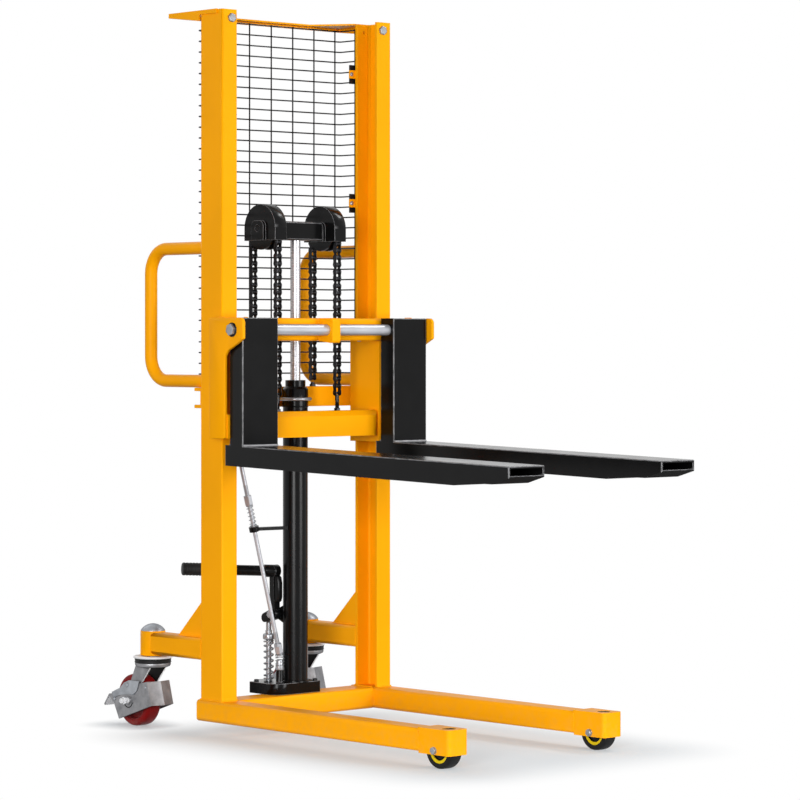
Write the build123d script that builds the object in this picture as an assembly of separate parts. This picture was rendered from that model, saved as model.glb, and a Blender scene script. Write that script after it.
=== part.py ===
from build123d import *
import math
import os

os.makedirs("parts", exist_ok=True)

# Manual pallet stacker. Millimetres, X to the machine's right as seen from the forks,
# +Y to the rear (operator) side, +Z up, floor at z = 0.
# The pieces are drawn with the front face of the posts at y = 0, and each node is moved
# along Y when it is saved, so that the origin lies under the middle of the machine.

# Driving dimensions: mast
mast_height = 1700
post_outer_x = 265
post_width = 45
post_depth = 80
post_web = 6
post_flange = 8
sheet = 4

# Driving dimensions: legs and wheels
leg_outer_x = 270
leg_width = 60
leg_height = 50
leg_bottom = 35
leg_front = -679
leg_rear = 89
bracket_front = -775
load_wheel_radius = 41
load_wheel_width = 34
load_axle_y = -729
caster_y = 289
caster_trail = 53
caster_wheel_radius = 62.5
caster_wheel_width = 40
brake_rear = 438

# Driving dimensions: lift
cylinder_y = 47.5
cylinder_radius = 30
cylinder_top = 770
rod_radius = 12
pulley_x = 93.4
pulley_z = 1193
chain_pitch_radius = 45
chain_height = 15
chain_width = 17

# Driving dimensions: carriage and forks
carriage_half_width = 300
carriage_bottom = 700
carriage_top = 980
end_plate = 8
roller_plate_x = 200
roller_radius = 31
fork_rod_radius = 13
fork_rod_y = -80
fork_rod_z = 952
fork_inner_x = 181
fork_width = 107
fork_wall = 5
fork_tip = -979
fork_heel = -39
fork_heel_top = 685.3
fork_tip_top = 662.9

# Clearances
running = 0.06
loose = 0.3

# Derived places
leg_top = leg_bottom + leg_height
leg_inner_x = leg_outer_x - leg_width
post_inner_x = post_outer_x - post_width
post_middle_x = post_outer_x - post_width / 2
roller_y = post_depth / 2
chain_front_y = cylinder_y - chain_pitch_radius
chain_rear_y = cylinder_y + chain_pitch_radius
caster_axle_y = caster_y + caster_trail
frame_shift = -(fork_tip + brake_rear) / 2


def block(x_range, y_range, z_range):
    """Box between two values on each axis."""
    ranges = (x_range, y_range, z_range)
    sizes = [high - low for low, high in ranges]
    corner = [low for low, high in ranges]
    return Pos(*corner) * Box(*sizes, align=(Align.MIN, Align.MIN, Align.MIN))


def bar_x(radius, x_range, y, z):
    """Round bar along X."""
    low, high = x_range
    base = (Align.CENTER, Align.CENTER, Align.MIN)
    return Pos(low, y, z) * Rot(0, 90, 0) * Cylinder(radius, high - low, align=base)


def bar_y(radius, x, y_range, z):
    """Round bar along Y."""
    low, high = y_range
    base = (Align.CENTER, Align.CENTER, Align.MIN)
    return Pos(x, low, z) * Rot(-90, 0, 0) * Cylinder(radius, high - low, align=base)


def bar_z(radius, x, y, z_range):
    """Round bar along Z."""
    low, high = z_range
    base = (Align.CENTER, Align.CENTER, Align.MIN)
    return Pos(x, y, low) * Cylinder(radius, high - low, align=base)


def bar_between(radius, start, end):
    """Round bar from one point to another."""
    run = Vector(*end) - Vector(*start)
    base = (Align.CENTER, Align.CENTER, Align.MIN)
    return Plane(origin=start, z_dir=run) * Cylinder(radius, run.length, align=base)


def plate_x(points, x_range):
    """Plate with an outline of (y, z) points, extruded along X."""
    low, high = x_range
    outline = Polyline(*[(low, y, z) for y, z in points], close=True)
    return extrude(make_face(outline), amount=high - low, dir=(1, 0, 0))


def plate_z(points, z_range):
    """Plate with an outline of (x, y) points, extruded along Z."""
    low, high = z_range
    outline = Polyline(*[(x, y, low) for x, y in points], close=True)
    return extrude(make_face(outline), amount=high - low, dir=(0, 0, 1))


def link_x(start, start_radius, end, end_radius, x_range):
    """Flat link along X: two discs at (y, z) points, joined by their outer tangents."""
    along = Vector(end[0] - start[0], end[1] - start[1], 0)
    distance = along.length
    unit = along.normalized()
    side = Vector(-unit.Y, unit.X, 0)
    lean = (start_radius - end_radius) / distance
    spread = math.sqrt(1 - lean * lean)
    outline = []
    for centre, radius, sign in ((start, start_radius, 1), (end, end_radius, 1),
                                 (end, end_radius, -1), (start, start_radius, -1)):
        y = centre[0] + radius * (lean * unit.X + sign * spread * side.X)
        z = centre[1] + radius * (lean * unit.Y + sign * spread * side.Y)
        outline.append((y, z))
    discs = bar_x(start_radius, x_range, *start) + bar_x(end_radius, x_range, *end)
    return discs + plate_x(outline, x_range)


def rect_tube(start, direction, x_dir, width, height, corner, wall, length):
    """Rectangular tube with rounded corners, from a start point along a direction."""
    outer = RectangleRounded(width, height, corner)
    inner = RectangleRounded(width - 2 * wall, height - 2 * wall, corner - wall)
    return extrude(Plane(origin=start, x_dir=x_dir, z_dir=direction) * (outer - inner), amount=length)


def hexagon_bar(plane, across_flats, length):
    """Hexagon head or nut standing on a plane."""
    return extrude(plane * RegularPolygon(across_flats / 2, 6, major_radius=False), amount=length)


def x_plane(x, y, z, sign):
    """Plane facing along +X or -X."""
    return Plane(origin=(x, y, z), x_dir=(0, 1, 0), z_dir=(sign, 0, 0))


def y_plane(x, y, z, sign):
    """Plane facing along +Y or -Y."""
    return Plane(origin=(x, y, z), x_dir=(1, 0, 0), z_dir=(0, sign, 0))


def z_plane(x, y, z):
    """Plane facing up."""
    return Plane(origin=(x, y, z))


def mirrored(piece):
    """The same piece on the machine's other side."""
    return mirror(piece, about=Plane.YZ)


def both(piece):
    """A piece and its mirror image."""
    return [mirrored(piece), piece]


def save(node, *pieces):
    """Write one node, moved so that the origin lies under the middle of the machine."""
    moved = [Pos(0, frame_shift, 0) * piece for piece in pieces]
    shape = moved[0] if len(moved) == 1 else Compound(children=moved)
    export_step(shape, f"parts/{node}.step")


# Mast posts: channels that open inward and stand on the legs
stop_bolt_x = 237
stop_bolt_z = 1680
stop_bolt_radius = 5
inside_post = (post_inner_x - 1, post_outer_x - post_web)
post_corner = 4
channel_corner = 6
post = block((post_inner_x, post_outer_x), (0, post_depth), (leg_top, mast_height))
post = fillet(post.edges().filter_by(Axis.Z).group_by(Axis.X)[-1], post_corner)
channel = block(inside_post, (post_flange, post_depth - post_flange), (leg_top - 1, mast_height + 1))
post -= fillet(channel.edges().filter_by(Axis.Z).group_by(Axis.X)[-1], channel_corner)
post -= bar_y(stop_bolt_radius + running, stop_bolt_x, (-1, post_flange + 1), stop_bolt_z)
rear_hole_z = 1680
right_post = post - bar_y(4, 243, (post_depth - post_flange - 1, post_depth + 1), rear_hole_z)
save("left_mast_post", mirrored(post))
save("right_mast_post", right_post)

stop_bolt = bar_y(stop_bolt_radius, stop_bolt_x, (0, 20), stop_bolt_z)
stop_bolt += hexagon_bar(y_plane(stop_bolt_x, 0, stop_bolt_z, -1), 17, 7)
stop_bolt += hexagon_bar(y_plane(stop_bolt_x, post_flange, stop_bolt_z, 1), 17, 8)
save("stop_bolts", *both(stop_bolt))

# Top plate: folded sheet behind the posts with a cut-out over the lift and lips on three sides
plate_top = mast_height + 1
plate_rear = 195
plate_outer_x = post_outer_x + sheet
lip_front = 16
cutout_front_x = 217
cutout_rear_x = 150
cutout_rear = 168
plate_outline = [(plate_outer_x, lip_front), (plate_outer_x, plate_rear), (-plate_outer_x, plate_rear),
                 (-plate_outer_x, lip_front), (-post_outer_x, lip_front), (-post_outer_x, post_depth),
                 (-cutout_front_x, post_depth), (-cutout_rear_x, cutout_rear),
                 (cutout_rear_x, cutout_rear), (cutout_front_x, post_depth),
                 (post_outer_x, post_depth), (post_outer_x, lip_front)]
side_lip = [(lip_front, plate_top), (lip_front, plate_top - 10), (post_depth + 1, plate_top - 10),
            (post_depth + 1, plate_top - 24), (plate_rear, plate_top - 11), (plate_rear, plate_top)]
top_plate = plate_z(plate_outline, (plate_top - sheet, plate_top))
for lip in both(plate_x(side_lip, (post_outer_x, plate_outer_x))):
    top_plate += lip
top_plate += block((-plate_outer_x, plate_outer_x), (plate_rear - sheet, plate_rear),
                   (plate_top - 11, plate_top))
save("top_plate", top_plate)

# Mid crossbar: channel across the back of the posts that holds the cylinder and the rear chains
mid_bottom = 768
mid_top = 816
mid_rear = 107
mid_web = 5
mid_flange = 8
clamp_z = 787
clamp_wire = 4
gland_radius = 31
clamp_x = gland_radius + clamp_wire + loose
anchor_radius = 5
anchor_nut = 14
mid_half_width = 262
mid_crossbar = block((-mid_half_width, mid_half_width), (post_depth, mid_rear), (mid_bottom, mid_top))
mid_crossbar -= block((-mid_half_width - 1, mid_half_width + 1), (post_depth + mid_web, mid_rear + 1),
                      (mid_bottom + mid_flange, mid_top - mid_flange))
for side in (-1, 1):
    mid_crossbar -= bar_y(clamp_wire + running, side * clamp_x,
                          (post_depth - 1, post_depth + mid_web + 1), clamp_z)
    mid_crossbar -= bar_z(anchor_radius + running, side * pulley_x, chain_rear_y,
                          (mid_top - mid_flange - 1, mid_top + 1))
save("mid_crossbar", mid_crossbar)

# Base: crossbar, legs, wheel brackets and load-wheel axles
tube_corner = 8
tube_wall = 5
base_middle = (leg_bottom + leg_top) / 2
save("base_crossbar", rect_tube((-leg_inner_x, post_depth / 2, base_middle), (1, 0, 0), (0, 1, 0),
                                post_depth, leg_height, tube_corner, tube_wall, 2 * leg_inner_x))
leg_middle_x = leg_outer_x - leg_width / 2
leg = rect_tube((leg_middle_x, leg_front, base_middle), (0, 1, 0), (1, 0, 0),
                leg_width, leg_height, tube_corner, tube_wall, leg_rear - leg_front)
save("legs", *both(leg))

bracket_side = 6
bracket_top = leg_top + 3
bracket_bottom = leg_bottom - 3
bracket_corner = 10
bracket_hole_y = -745
bracket_hole_radius = 16
load_axle_radius = 5
load_axle_head = 15
bracket = block((leg_inner_x, leg_outer_x), (bracket_front, leg_front), (bracket_bottom, bracket_top))
bracket = fillet(bracket.edges().filter_by(Axis.Z).group_by(Axis.Y)[0], bracket_corner)
bracket -= block((leg_inner_x + bracket_side, leg_outer_x - bracket_side),
                 (bracket_front + sheet, leg_front - bracket_side), (bracket_bottom - 1, bracket_top - sheet))
bracket -= bar_z(bracket_hole_radius, leg_middle_x, bracket_hole_y, (base_middle, bracket_top + 1))
bracket -= bar_x(load_axle_radius + running, (leg_inner_x - 1, leg_outer_x + 1),
                 load_axle_y, load_wheel_radius)
save("leg_tip_brackets", *both(bracket))

load_axle = bar_x(load_axle_radius, (leg_inner_x, leg_outer_x), load_axle_y, load_wheel_radius)
load_axle += hexagon_bar(x_plane(leg_outer_x, load_axle_y, load_wheel_radius, 1), load_axle_head, 6)
load_axle += hexagon_bar(x_plane(leg_inner_x, load_axle_y, load_wheel_radius, -1), load_axle_head, 8)
save("load_wheel_axles", *both(load_axle))

# Rear arms with gussets, caster sockets and their caps
arm_bottom = 177
arm_top = 229
gusset_top = 329
gusset_rear = 184
gusset_half = 5
socket_radius = 30
socket_bottom = 173
socket_top = 232
stem_radius = 15
cap_height = 17
socket_space = bar_z(socket_radius, post_middle_x, caster_y, (socket_bottom, socket_top))
arm = rect_tube((post_middle_x, post_depth, (arm_bottom + arm_top) / 2), (0, 1, 0), (1, 0, 0),
                post_width, arm_top - arm_bottom, tube_corner, tube_wall, caster_y - post_depth)
arm -= socket_space
gusset = plate_x([(post_depth, arm_top), (gusset_rear, arm_top), (post_depth, gusset_top)],
                 (post_middle_x - gusset_half, post_middle_x + gusset_half))
save("rear_arms", *both(arm), *both(gusset))
socket = socket_space - bar_z(stem_radius + running, post_middle_x, caster_y, (socket_bottom, socket_top))
save("caster_sockets", *both(socket))
cap_radius = (socket_radius * socket_radius + cap_height * cap_height) / (2 * cap_height)
cap_ball = Pos(post_middle_x, caster_y, socket_top + cap_height - cap_radius) * Sphere(cap_radius)
cap = cap_ball & bar_z(socket_radius - 1, post_middle_x, caster_y, (socket_top, socket_top + cap_height))
save("caster_caps", *both(cap))

# Push handles: bent tubes behind the posts
handle_radius = 15
handle_bore = 12.5
handle_top = 1145
handle_bottom = 831.1
handle_rear = 296
handle_bend = 59
handle_route = FilletPolyline((post_middle_x, post_depth, handle_top),
                              (post_middle_x, handle_rear, handle_top),
                              (post_middle_x, handle_rear, handle_bottom),
                              (post_middle_x, post_depth, handle_bottom), radius=handle_bend)
handle_ring = Circle(handle_radius) - Circle(handle_bore)
handle_start = y_plane(post_middle_x, post_depth, handle_top, 1)
save("push_handles", *both(sweep(handle_start * handle_ring, path=handle_route)))

# Wire guard behind the mast: a flat net, and wires bent forward to the posts on each side
wire = 3.5
wire_half = wire / 2
guard_y = 140
guard_bottom = 847.6
guard_row_pitch = 25.4
guard_row_count = 34
guard_column_pitch = 68
guard_columns_each_side = 3
guard_return_x = 224
net_half_width = guard_columns_each_side * guard_column_pitch
guard_top = guard_bottom + (guard_row_count - 1) * guard_row_pitch
guard_rows = [guard_bottom + row * guard_row_pitch for row in range(guard_row_count)]


def net_rectangle(x_range, z_range):
    """Rectangle in the guard's plane, as a closed wire."""
    corners = [(x, guard_y - wire_half, z) for x, z in (
        (x_range[0], z_range[0]), (x_range[1], z_range[0]),
        (x_range[1], z_range[1]), (x_range[0], z_range[1]))]
    return Wire.make_polygon(corners, close=True)


net_gaps = []
for low_row, high_row in zip(guard_rows[:-1], guard_rows[1:]):
    for column in range(-guard_columns_each_side, guard_columns_each_side):
        low_x = column * guard_column_pitch + wire_half
        high_x = (column + 1) * guard_column_pitch - wire_half
        net_gaps.append(net_rectangle((low_x, high_x), (low_row + wire_half, high_row - wire_half)))
net_outer_x = net_half_width + wire_half
net_edge = net_rectangle((-net_outer_x, net_outer_x), (guard_bottom - wire_half, guard_top + wire_half))
guard_net = extrude(Face(net_edge, net_gaps), amount=wire, dir=(0, 1, 0))
bent_wire = [(net_outer_x, guard_y - wire_half), (guard_return_x - wire_half, guard_y - wire_half),
             (guard_return_x - wire_half, post_depth), (guard_return_x + wire_half, post_depth),
             (guard_return_x + wire_half, guard_y + wire_half), (net_outer_x, guard_y + wire_half)]
guard_return = block((guard_return_x - wire_half, guard_return_x + wire_half),
                     (post_depth, post_depth + wire), (guard_bottom - wire_half, guard_top + wire_half))
guard_return = guard_return.fuse(*[plate_z(bent_wire, (row - wire_half, row + wire_half))
                                   for row in guard_rows])
save("guard_mesh", guard_net, *both(guard_return))

# Clips that hold the guard's bent wires on the posts
clip_inner_x = 207
clip_tab_x = 203
clip_outer_x = guard_return_x - wire_half
clip_height = 46
clip_tab_height = 20
clip_tab_rear = post_depth + 4
clip_rear = post_depth + 8
clips = []
for clip_z in (1262, 1577):
    clip = block((clip_inner_x, clip_outer_x), (clip_tab_rear, clip_rear),
                 (clip_z - clip_height / 2, clip_z + clip_height / 2))
    clip += block((clip_tab_x, clip_outer_x), (post_depth, clip_tab_rear),
                  (clip_z - clip_tab_height / 2, clip_z + clip_tab_height / 2))
    clips += both(clip)
save("guard_clips", *clips)

# Lift cylinder, gland and its U-bolt on the mid crossbar
pump_top = 112
cylinder_bore = 24
gland_neck_radius = 20
gland_shoulder = 810
gland_top = 832
cylinder = bar_z(cylinder_radius, 0, cylinder_y, (pump_top, cylinder_top))
cylinder -= bar_z(cylinder_bore, 0, cylinder_y, (pump_top + 10, cylinder_top + 1))
save("cylinder_tube", cylinder)
gland = bar_z(gland_radius, 0, cylinder_y, (cylinder_top, gland_shoulder))
gland = chamfer(gland.edges().group_by(Axis.Z)[-1], 10.5)
gland += bar_z(gland_neck_radius, 0, cylinder_y, (gland_shoulder, gland_top))
gland -= bar_z(rod_radius + running, 0, cylinder_y, (cylinder_top - 1, gland_top + 1))
save("cylinder_gland", gland)
clamp_end = 98
clamp_nut = 7
clamp_route = Wire([
    Line((-clamp_x, clamp_end, clamp_z), (-clamp_x, cylinder_y, clamp_z)).edge(),
    ThreePointArc((-clamp_x, cylinder_y, clamp_z), (0, cylinder_y - clamp_x, clamp_z),
                  (clamp_x, cylinder_y, clamp_z)).edge(),
    Line((clamp_x, cylinder_y, clamp_z), (clamp_x, clamp_end, clamp_z)).edge()])
clamp = sweep(y_plane(-clamp_x, clamp_end, clamp_z, -1) * Circle(clamp_wire), path=clamp_route)
for side in (-1, 1):
    clamp += hexagon_bar(y_plane(side * clamp_x, post_depth + mid_web, clamp_z, 1), 13, clamp_nut)
save("cylinder_clamp", clamp)

# Pump block on the base crossbar: foot of the cylinder, pump lobe and release valve
pump_x = -35
pump_y = 105
pump_lobe_radius = 36
plunger_radius = 6.5
plunger_bore_bottom = 90
valve_x = -42
valve_y = 56
valve_radius = 9
valve_top = 150
valve_pin_radius = 4
valve_pin_top = 166
pump_corner = 6
pump_round_corner = 34
pump_block = block((-86, 56), (18, 116), (leg_top, pump_top))
pump_uprights = pump_block.edges().filter_by(Axis.Z)
pump_front_left = pump_uprights.sort_by(Axis.Y)[:2].sort_by(Axis.X)[:1]
pump_block = fillet(pump_front_left, pump_round_corner)
pump_block = fillet(pump_block.edges().filter_by(Axis.Z).group_by(Axis.X)[-1], pump_corner)
pump_block += bar_z(pump_lobe_radius, pump_x, pump_y, (leg_top, pump_top))
pump_block += bar_z(valve_radius, valve_x, valve_y, (leg_top, valve_top))
pump_block += bar_z(valve_pin_radius, valve_x, valve_y, (valve_top, valve_pin_top))
pump_block -= bar_z(plunger_radius + running, pump_x, pump_y, (plunger_bore_bottom, pump_top + 1))
save("pump_block", pump_block)

# Pump lever: a bell crank on a cantilever pin, with a slanted pedal bar and a nose on the plunger
lever_y = 76
lever_z = 273
lever_pin_radius = 6
lever_hub_radius = 13
lever_web_radius = 8
lever_x_range = (-49, -31)
cheek_x_range = (-28, -18)
boss_radius = 15
boss = (-44, 78, 376)
pedal_end = (-240, 177, 385)
pedal_radius = 12.5
grip_radius = 14.5
grip_length = 60
nose_radius = 11
nose_z = 263
lever = link_x((lever_y, lever_z), lever_web_radius, boss[1:], lever_web_radius, lever_x_range)
lever += bar_x(boss_radius, lever_x_range, *boss[1:])
lever += link_x((lever_y, lever_z), lever_hub_radius, (pump_y, nose_z), nose_radius, lever_x_range)
pedal_run = Vector(*pedal_end) - Vector(*boss)
pedal_unit = pedal_run.normalized()
boss_start = Vector(*boss) - pedal_unit * 5
boss_end = Vector(*boss) + pedal_unit * 22
grip_start = Vector(*pedal_end) - pedal_unit * grip_length
lever += bar_between(boss_radius, tuple(boss_start), tuple(boss_end))
lever += bar_between(pedal_radius, boss, pedal_end)
lever += bar_between(grip_radius, tuple(grip_start), pedal_end)
lever -= bar_x(lever_pin_radius + running, (lever_x_range[0] - 20, lever_x_range[1] + 20), lever_y, lever_z)
save("pump_lever", lever)

# Plunger under the nose, with the retainer of the return spring
retainer_bottom = 210
retainer_top = 224
retainer_radius = 14
plunger_top = nose_z - nose_radius - loose
plunger = bar_z(plunger_radius, pump_x, pump_y, (104, plunger_top))
plunger += bar_z(retainer_radius, pump_x, pump_y, (retainer_bottom, retainer_top))
save("pump_plunger", plunger)


def coil_points(plane, mean_radius, length, turns, steps_per_turn):
    """Points on a helix about the plane's normal, with their directions."""
    count = round(turns * steps_per_turn)
    points = []
    directions = []
    for step in range(count + 1):
        angle = 2 * math.pi * step / steps_per_turn
        rise = length / (2 * math.pi * turns)
        local = Vector(mean_radius * math.cos(angle), mean_radius * math.sin(angle), rise * angle)
        heading = Vector(-mean_radius * math.sin(angle), mean_radius * math.cos(angle), rise)
        origin = plane.from_local_coords(Vector(0, 0, 0))
        points.append(plane.from_local_coords(local))
        directions.append((plane.from_local_coords(heading) - origin).normalized())
    return points, directions


def biarc(start, start_direction, end, end_direction):
    """Two tangent arcs between two points with given directions."""
    chord = end - start
    total = start_direction + end_direction
    spread = 4 - total.dot(total)
    middle = chord.dot(total)
    reach = (math.sqrt(middle * middle + spread * chord.dot(chord)) - middle) / spread
    first_corner = start + start_direction * reach
    second_corner = end - end_direction * reach
    joint = (first_corner + second_corner) * 0.5
    return [TangentArc(start, joint, tangent=start_direction).edge(),
            TangentArc(joint, end, tangent=second_corner - joint).edge()]


def coil(name, plane, mean_radius, wire_radius, length, turns):
    """Helical spring as one tube on biarcs of a quarter turn. Prints its least gap to itself."""
    points, directions = coil_points(plane, mean_radius, length, turns, 4)
    arcs = []
    for index in range(len(points) - 1):
        arcs += biarc(points[index], directions[index], points[index + 1], directions[index + 1])
    route = Wire(arcs)
    samples = [route.position_at(step / (turns * 32)) for step in range(round(turns * 32) + 1)]
    least = min((samples[j] - samples[i]).length
                for i in range(len(samples)) for j in range(i + 16, len(samples)))
    print(name, "least gap to itself", round(least - 2 * wire_radius, 2), "mm")
    return sweep(Plane(origin=points[0], z_dir=directions[0]) * Circle(wire_radius), path=route)


pump_spring_wire = 2
pump_spring_radius = 10.6
pump_spring_turns = 7
pump_spring_end = pump_spring_wire + 0.5
pump_spring_length = retainer_bottom - pump_top - 2 * pump_spring_end
save("pump_spring", coil("pump_spring", z_plane(pump_x, pump_y, pump_top + pump_spring_end),
                         pump_spring_radius, pump_spring_wire, pump_spring_length, pump_spring_turns))

# Release rod: a slanted push rod from the hand lever down to the release valve
release_bottom = Vector(valve_x, valve_y, 178)
release_top = Vector(-187, 62, 749)
release_radius = 5
release_unit = (release_top - release_bottom).normalized()


def on_release_rod(z):
    """Point of the release rod's axis at a height."""
    return release_bottom + release_unit * ((z - release_bottom.Z) / release_unit.Z)


def release_plane(z):
    """Plane square to the release rod at a height."""
    return Plane(origin=on_release_rod(z), z_dir=release_unit)


guide_z = 480
guide_length = 12
guide_radius = 12
nut_z = 538
nut_length = 22
release_rod = bar_between(release_radius, tuple(release_bottom), tuple(release_top))
release_rod += hexagon_bar(release_plane(nut_z), 17, nut_length)
release_rod += hexagon_bar(release_plane(release_bottom.Z + 4), 17, 16)
save("release_rod", release_rod)

guide_axis = on_release_rod(guide_z)
guide_low = guide_axis - release_unit * (guide_length / 2)
guide_high = guide_axis + release_unit * (guide_length / 2)
guide = bar_between(guide_radius, tuple(guide_low), tuple(guide_high))
guide += plate_z([(-20, cylinder_y - 8), (-20, cylinder_y + 8), (guide_axis.X, guide_axis.Y + 8),
                  (guide_axis.X, guide_axis.Y - 8)], (guide_z - 4, guide_z + 4))
guide -= bar_z(cylinder_radius, 0, cylinder_y, (guide_z - 10, guide_z + 10))
guide -= bar_between(release_radius + loose, tuple(guide_axis - release_unit * 20),
                     tuple(guide_axis + release_unit * 20))
save("release_guide", guide)

rod_spring_wire = 1
rod_spring_radius = 7.5
rod_spring_turns = 7
rod_spring_end = rod_spring_wire + 0.5
rod_spring_start = guide_high + release_unit * rod_spring_end
rod_spring_length = (on_release_rod(nut_z) - guide_high).length - 2 * rod_spring_end
save("rod_spring", coil("rod_spring", Plane(origin=rod_spring_start, z_dir=release_unit),
                        rod_spring_radius, rod_spring_wire, rod_spring_length, rod_spring_turns))

# Release lever under the mid crossbar: its nose presses the rod down when the knob is lifted
release_pivot_y = 98
release_pivot_z = 754
release_pin_radius = 4
release_x_range = (release_top.X - 4, release_top.X + 4)
release_nose_radius = 8
release_nose_gap = 2.4
release_nose_z = release_top.Z + release_nose_radius + release_nose_gap
knob = (156, 735)
knob_radius = 9
release_lever = link_x((release_pivot_y, release_pivot_z), 11, (release_top.Y, release_nose_z),
                       release_nose_radius, release_x_range)
release_lever += link_x((release_pivot_y, release_pivot_z), 11, knob, 5, release_x_range)
release_lever += Pos(release_top.X, *knob) * Sphere(knob_radius)
release_lever -= bar_x(release_pin_radius + running, (release_x_range[0] - 1, release_x_range[1] + 1),
                       release_pivot_y, release_pivot_z)
save("release_lever", release_lever)

# Pivot brackets: the pump lever's cheek on the cylinder, and the release lever's hanger
cheek = link_x((lever_y, lever_z), lever_hub_radius, (cylinder_y, lever_z), 24, cheek_x_range)
cheek -= bar_z(cylinder_radius, 0, cylinder_y, (lever_z - 40, lever_z + 40))
cheek = cheek.solids().sort_by(Axis.Y)[-1]
pin_end = lever_x_range[0] - loose
cheek += bar_x(lever_pin_radius, (pin_end, cheek_x_range[0]), lever_y, lever_z)
cheek += bar_x(lever_pin_radius + 4, (pin_end - 4, pin_end), lever_y, lever_z)
hanger_x_range = (release_x_range[1] + 1, release_x_range[1] + 7)
hanger = plate_x([(88, mid_bottom), (106, mid_bottom), (106, 735), (88, 735)], hanger_x_range)
release_pin_end = release_x_range[0] - loose
hanger += bar_x(release_pin_radius, (release_pin_end, hanger_x_range[0]), release_pivot_y, release_pivot_z)
hanger += bar_x(release_pin_radius + 3, (release_pin_end - 3, release_pin_end),
                release_pivot_y, release_pivot_z)
save("pivot_brackets", cheek, hanger)

# Crosshead: piston rod, beam, pulley covers and pulley axles
beam_bottom = 1166
beam_top = 1211
beam_half_depth = 20
piston_bottom = 400
piston_height = 30
cover_half_width = 18
cover_radius = 57
cover_bottom = 1164
cover_sheet = 3
strap_thickness = 8
strap_half_depth = 22.5
strap_corner = 14
pulley_axle_radius = 8
cover_x_range = (pulley_x - cover_half_width, pulley_x + cover_half_width)
strap_x_range = (cover_x_range[0] - strap_thickness, cover_x_range[1] + strap_thickness)
piston_rod = bar_z(rod_radius, 0, cylinder_y, (piston_bottom, beam_bottom))
piston_rod += bar_z(cylinder_bore - running, 0, cylinder_y, (piston_bottom, piston_bottom + piston_height))
save("piston_rod", piston_rod)

axle_inner_x = strap_x_range[0] - 10
beam = block((-strap_x_range[0], strap_x_range[0]),
             (cylinder_y - beam_half_depth, cylinder_y + beam_half_depth), (beam_bottom, beam_top))
beam = chamfer(beam.edges().filter_by(Axis.X), 3)
for hole in both(bar_x(pulley_axle_radius + running, (axle_inner_x, strap_x_range[0]), cylinder_y, pulley_z)):
    beam -= hole
save("crosshead_beam", beam)


def dome(radius, x_range, bottom):
    """Round-topped block over a pulley."""
    straight = block(x_range, (cylinder_y - radius, cylinder_y + radius), (bottom, pulley_z))
    return bar_x(radius, x_range, cylinder_y, pulley_z) + straight


def strap(x_range):
    """Thick plate on one side of a pulley cover, which carries the pulley axle."""
    side = block(x_range, (cylinder_y - strap_half_depth, cylinder_y + strap_half_depth),
                 (cover_bottom, beam_top))
    return fillet(side.edges().filter_by(Axis.X).group_by(Axis.Z)[-1], strap_corner)


dome_inside = (cover_x_range[0] + cover_sheet, cover_x_range[1] - cover_sheet)
below_cover = block((cover_x_range[0] - 1, cover_x_range[1] + 1),
                    (cylinder_y - cover_radius - 1, cylinder_y + cover_radius + 1),
                    (cover_bottom - cover_radius, cover_bottom))
cover = dome(cover_radius, cover_x_range, cover_bottom)
cover -= dome(cover_radius - cover_sheet, dome_inside, cover_bottom - 1)
cover -= below_cover
cover += strap((strap_x_range[0], cover_x_range[0]))
cover += strap((cover_x_range[1], strap_x_range[1]))
cover -= bar_x(pulley_axle_radius + running, strap_x_range, cylinder_y, pulley_z)
save("pulley_covers", *both(cover))
save("pulley_axles", *both(bar_x(pulley_axle_radius, (axle_inner_x, strap_x_range[1]), cylinder_y, pulley_z)))

# Chain pulleys and chains: each chain goes from the carriage over a pulley to the mid crossbar
pulley_half_width = 14
pulley_radius = 51
chain_half_height = chain_height / 2
chain_half_width = chain_width / 2
groove_radius = chain_pitch_radius - chain_half_height - loose
groove_x_range = (pulley_x - chain_half_width - 1, pulley_x + chain_half_width + 1)
pulley_x_range = (pulley_x - pulley_half_width, pulley_x + pulley_half_width)
groove = bar_x(pulley_radius + 1, groove_x_range, cylinder_y, pulley_z)
groove -= bar_x(groove_radius, groove_x_range, cylinder_y, pulley_z)
pulley = bar_x(pulley_radius, pulley_x_range, cylinder_y, pulley_z) - groove
pulley -= bar_x(pulley_axle_radius + running, pulley_x_range, cylinder_y, pulley_z)
save("left_chain_pulley", mirrored(pulley))
save("right_chain_pulley", pulley)

chain_x_range = (pulley_x - chain_half_width, pulley_x + chain_half_width)
front_chain_bottom = 797
rear_chain_bottom = 826
wrap = bar_x(chain_pitch_radius + chain_half_height, chain_x_range, cylinder_y, pulley_z)
wrap -= bar_x(chain_pitch_radius - chain_half_height, chain_x_range, cylinder_y, pulley_z)
wrap -= block((0, 2 * pulley_x), (cylinder_y - cover_radius, cylinder_y + cover_radius),
              (pulley_z - cover_radius, pulley_z))
save("chain_wraps", *both(wrap))


def chain_run(y, bottom):
    """Straight run of chain from the pulley's height down to its anchor."""
    return block(chain_x_range, (y - chain_half_height, y + chain_half_height), (bottom, pulley_z))


def chain_anchor(y, low, flange_low, flange_high, high):
    """Threaded anchor rod through a flange, with a nut on each face."""
    anchor = bar_z(anchor_radius, pulley_x, y, (low, high))
    anchor += hexagon_bar(z_plane(pulley_x, y, flange_low - 6), anchor_nut, 6)
    return anchor + hexagon_bar(z_plane(pulley_x, y, flange_high), anchor_nut, 6)


save("front_chain_runs", *both(chain_run(chain_front_y, front_chain_bottom)))
save("rear_chain_runs", *both(chain_run(chain_rear_y, rear_chain_bottom)))
save("fixed_chain_anchors", *both(chain_anchor(chain_rear_y, 792, mid_top - mid_flange, mid_top,
                                               rear_chain_bottom)))

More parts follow.
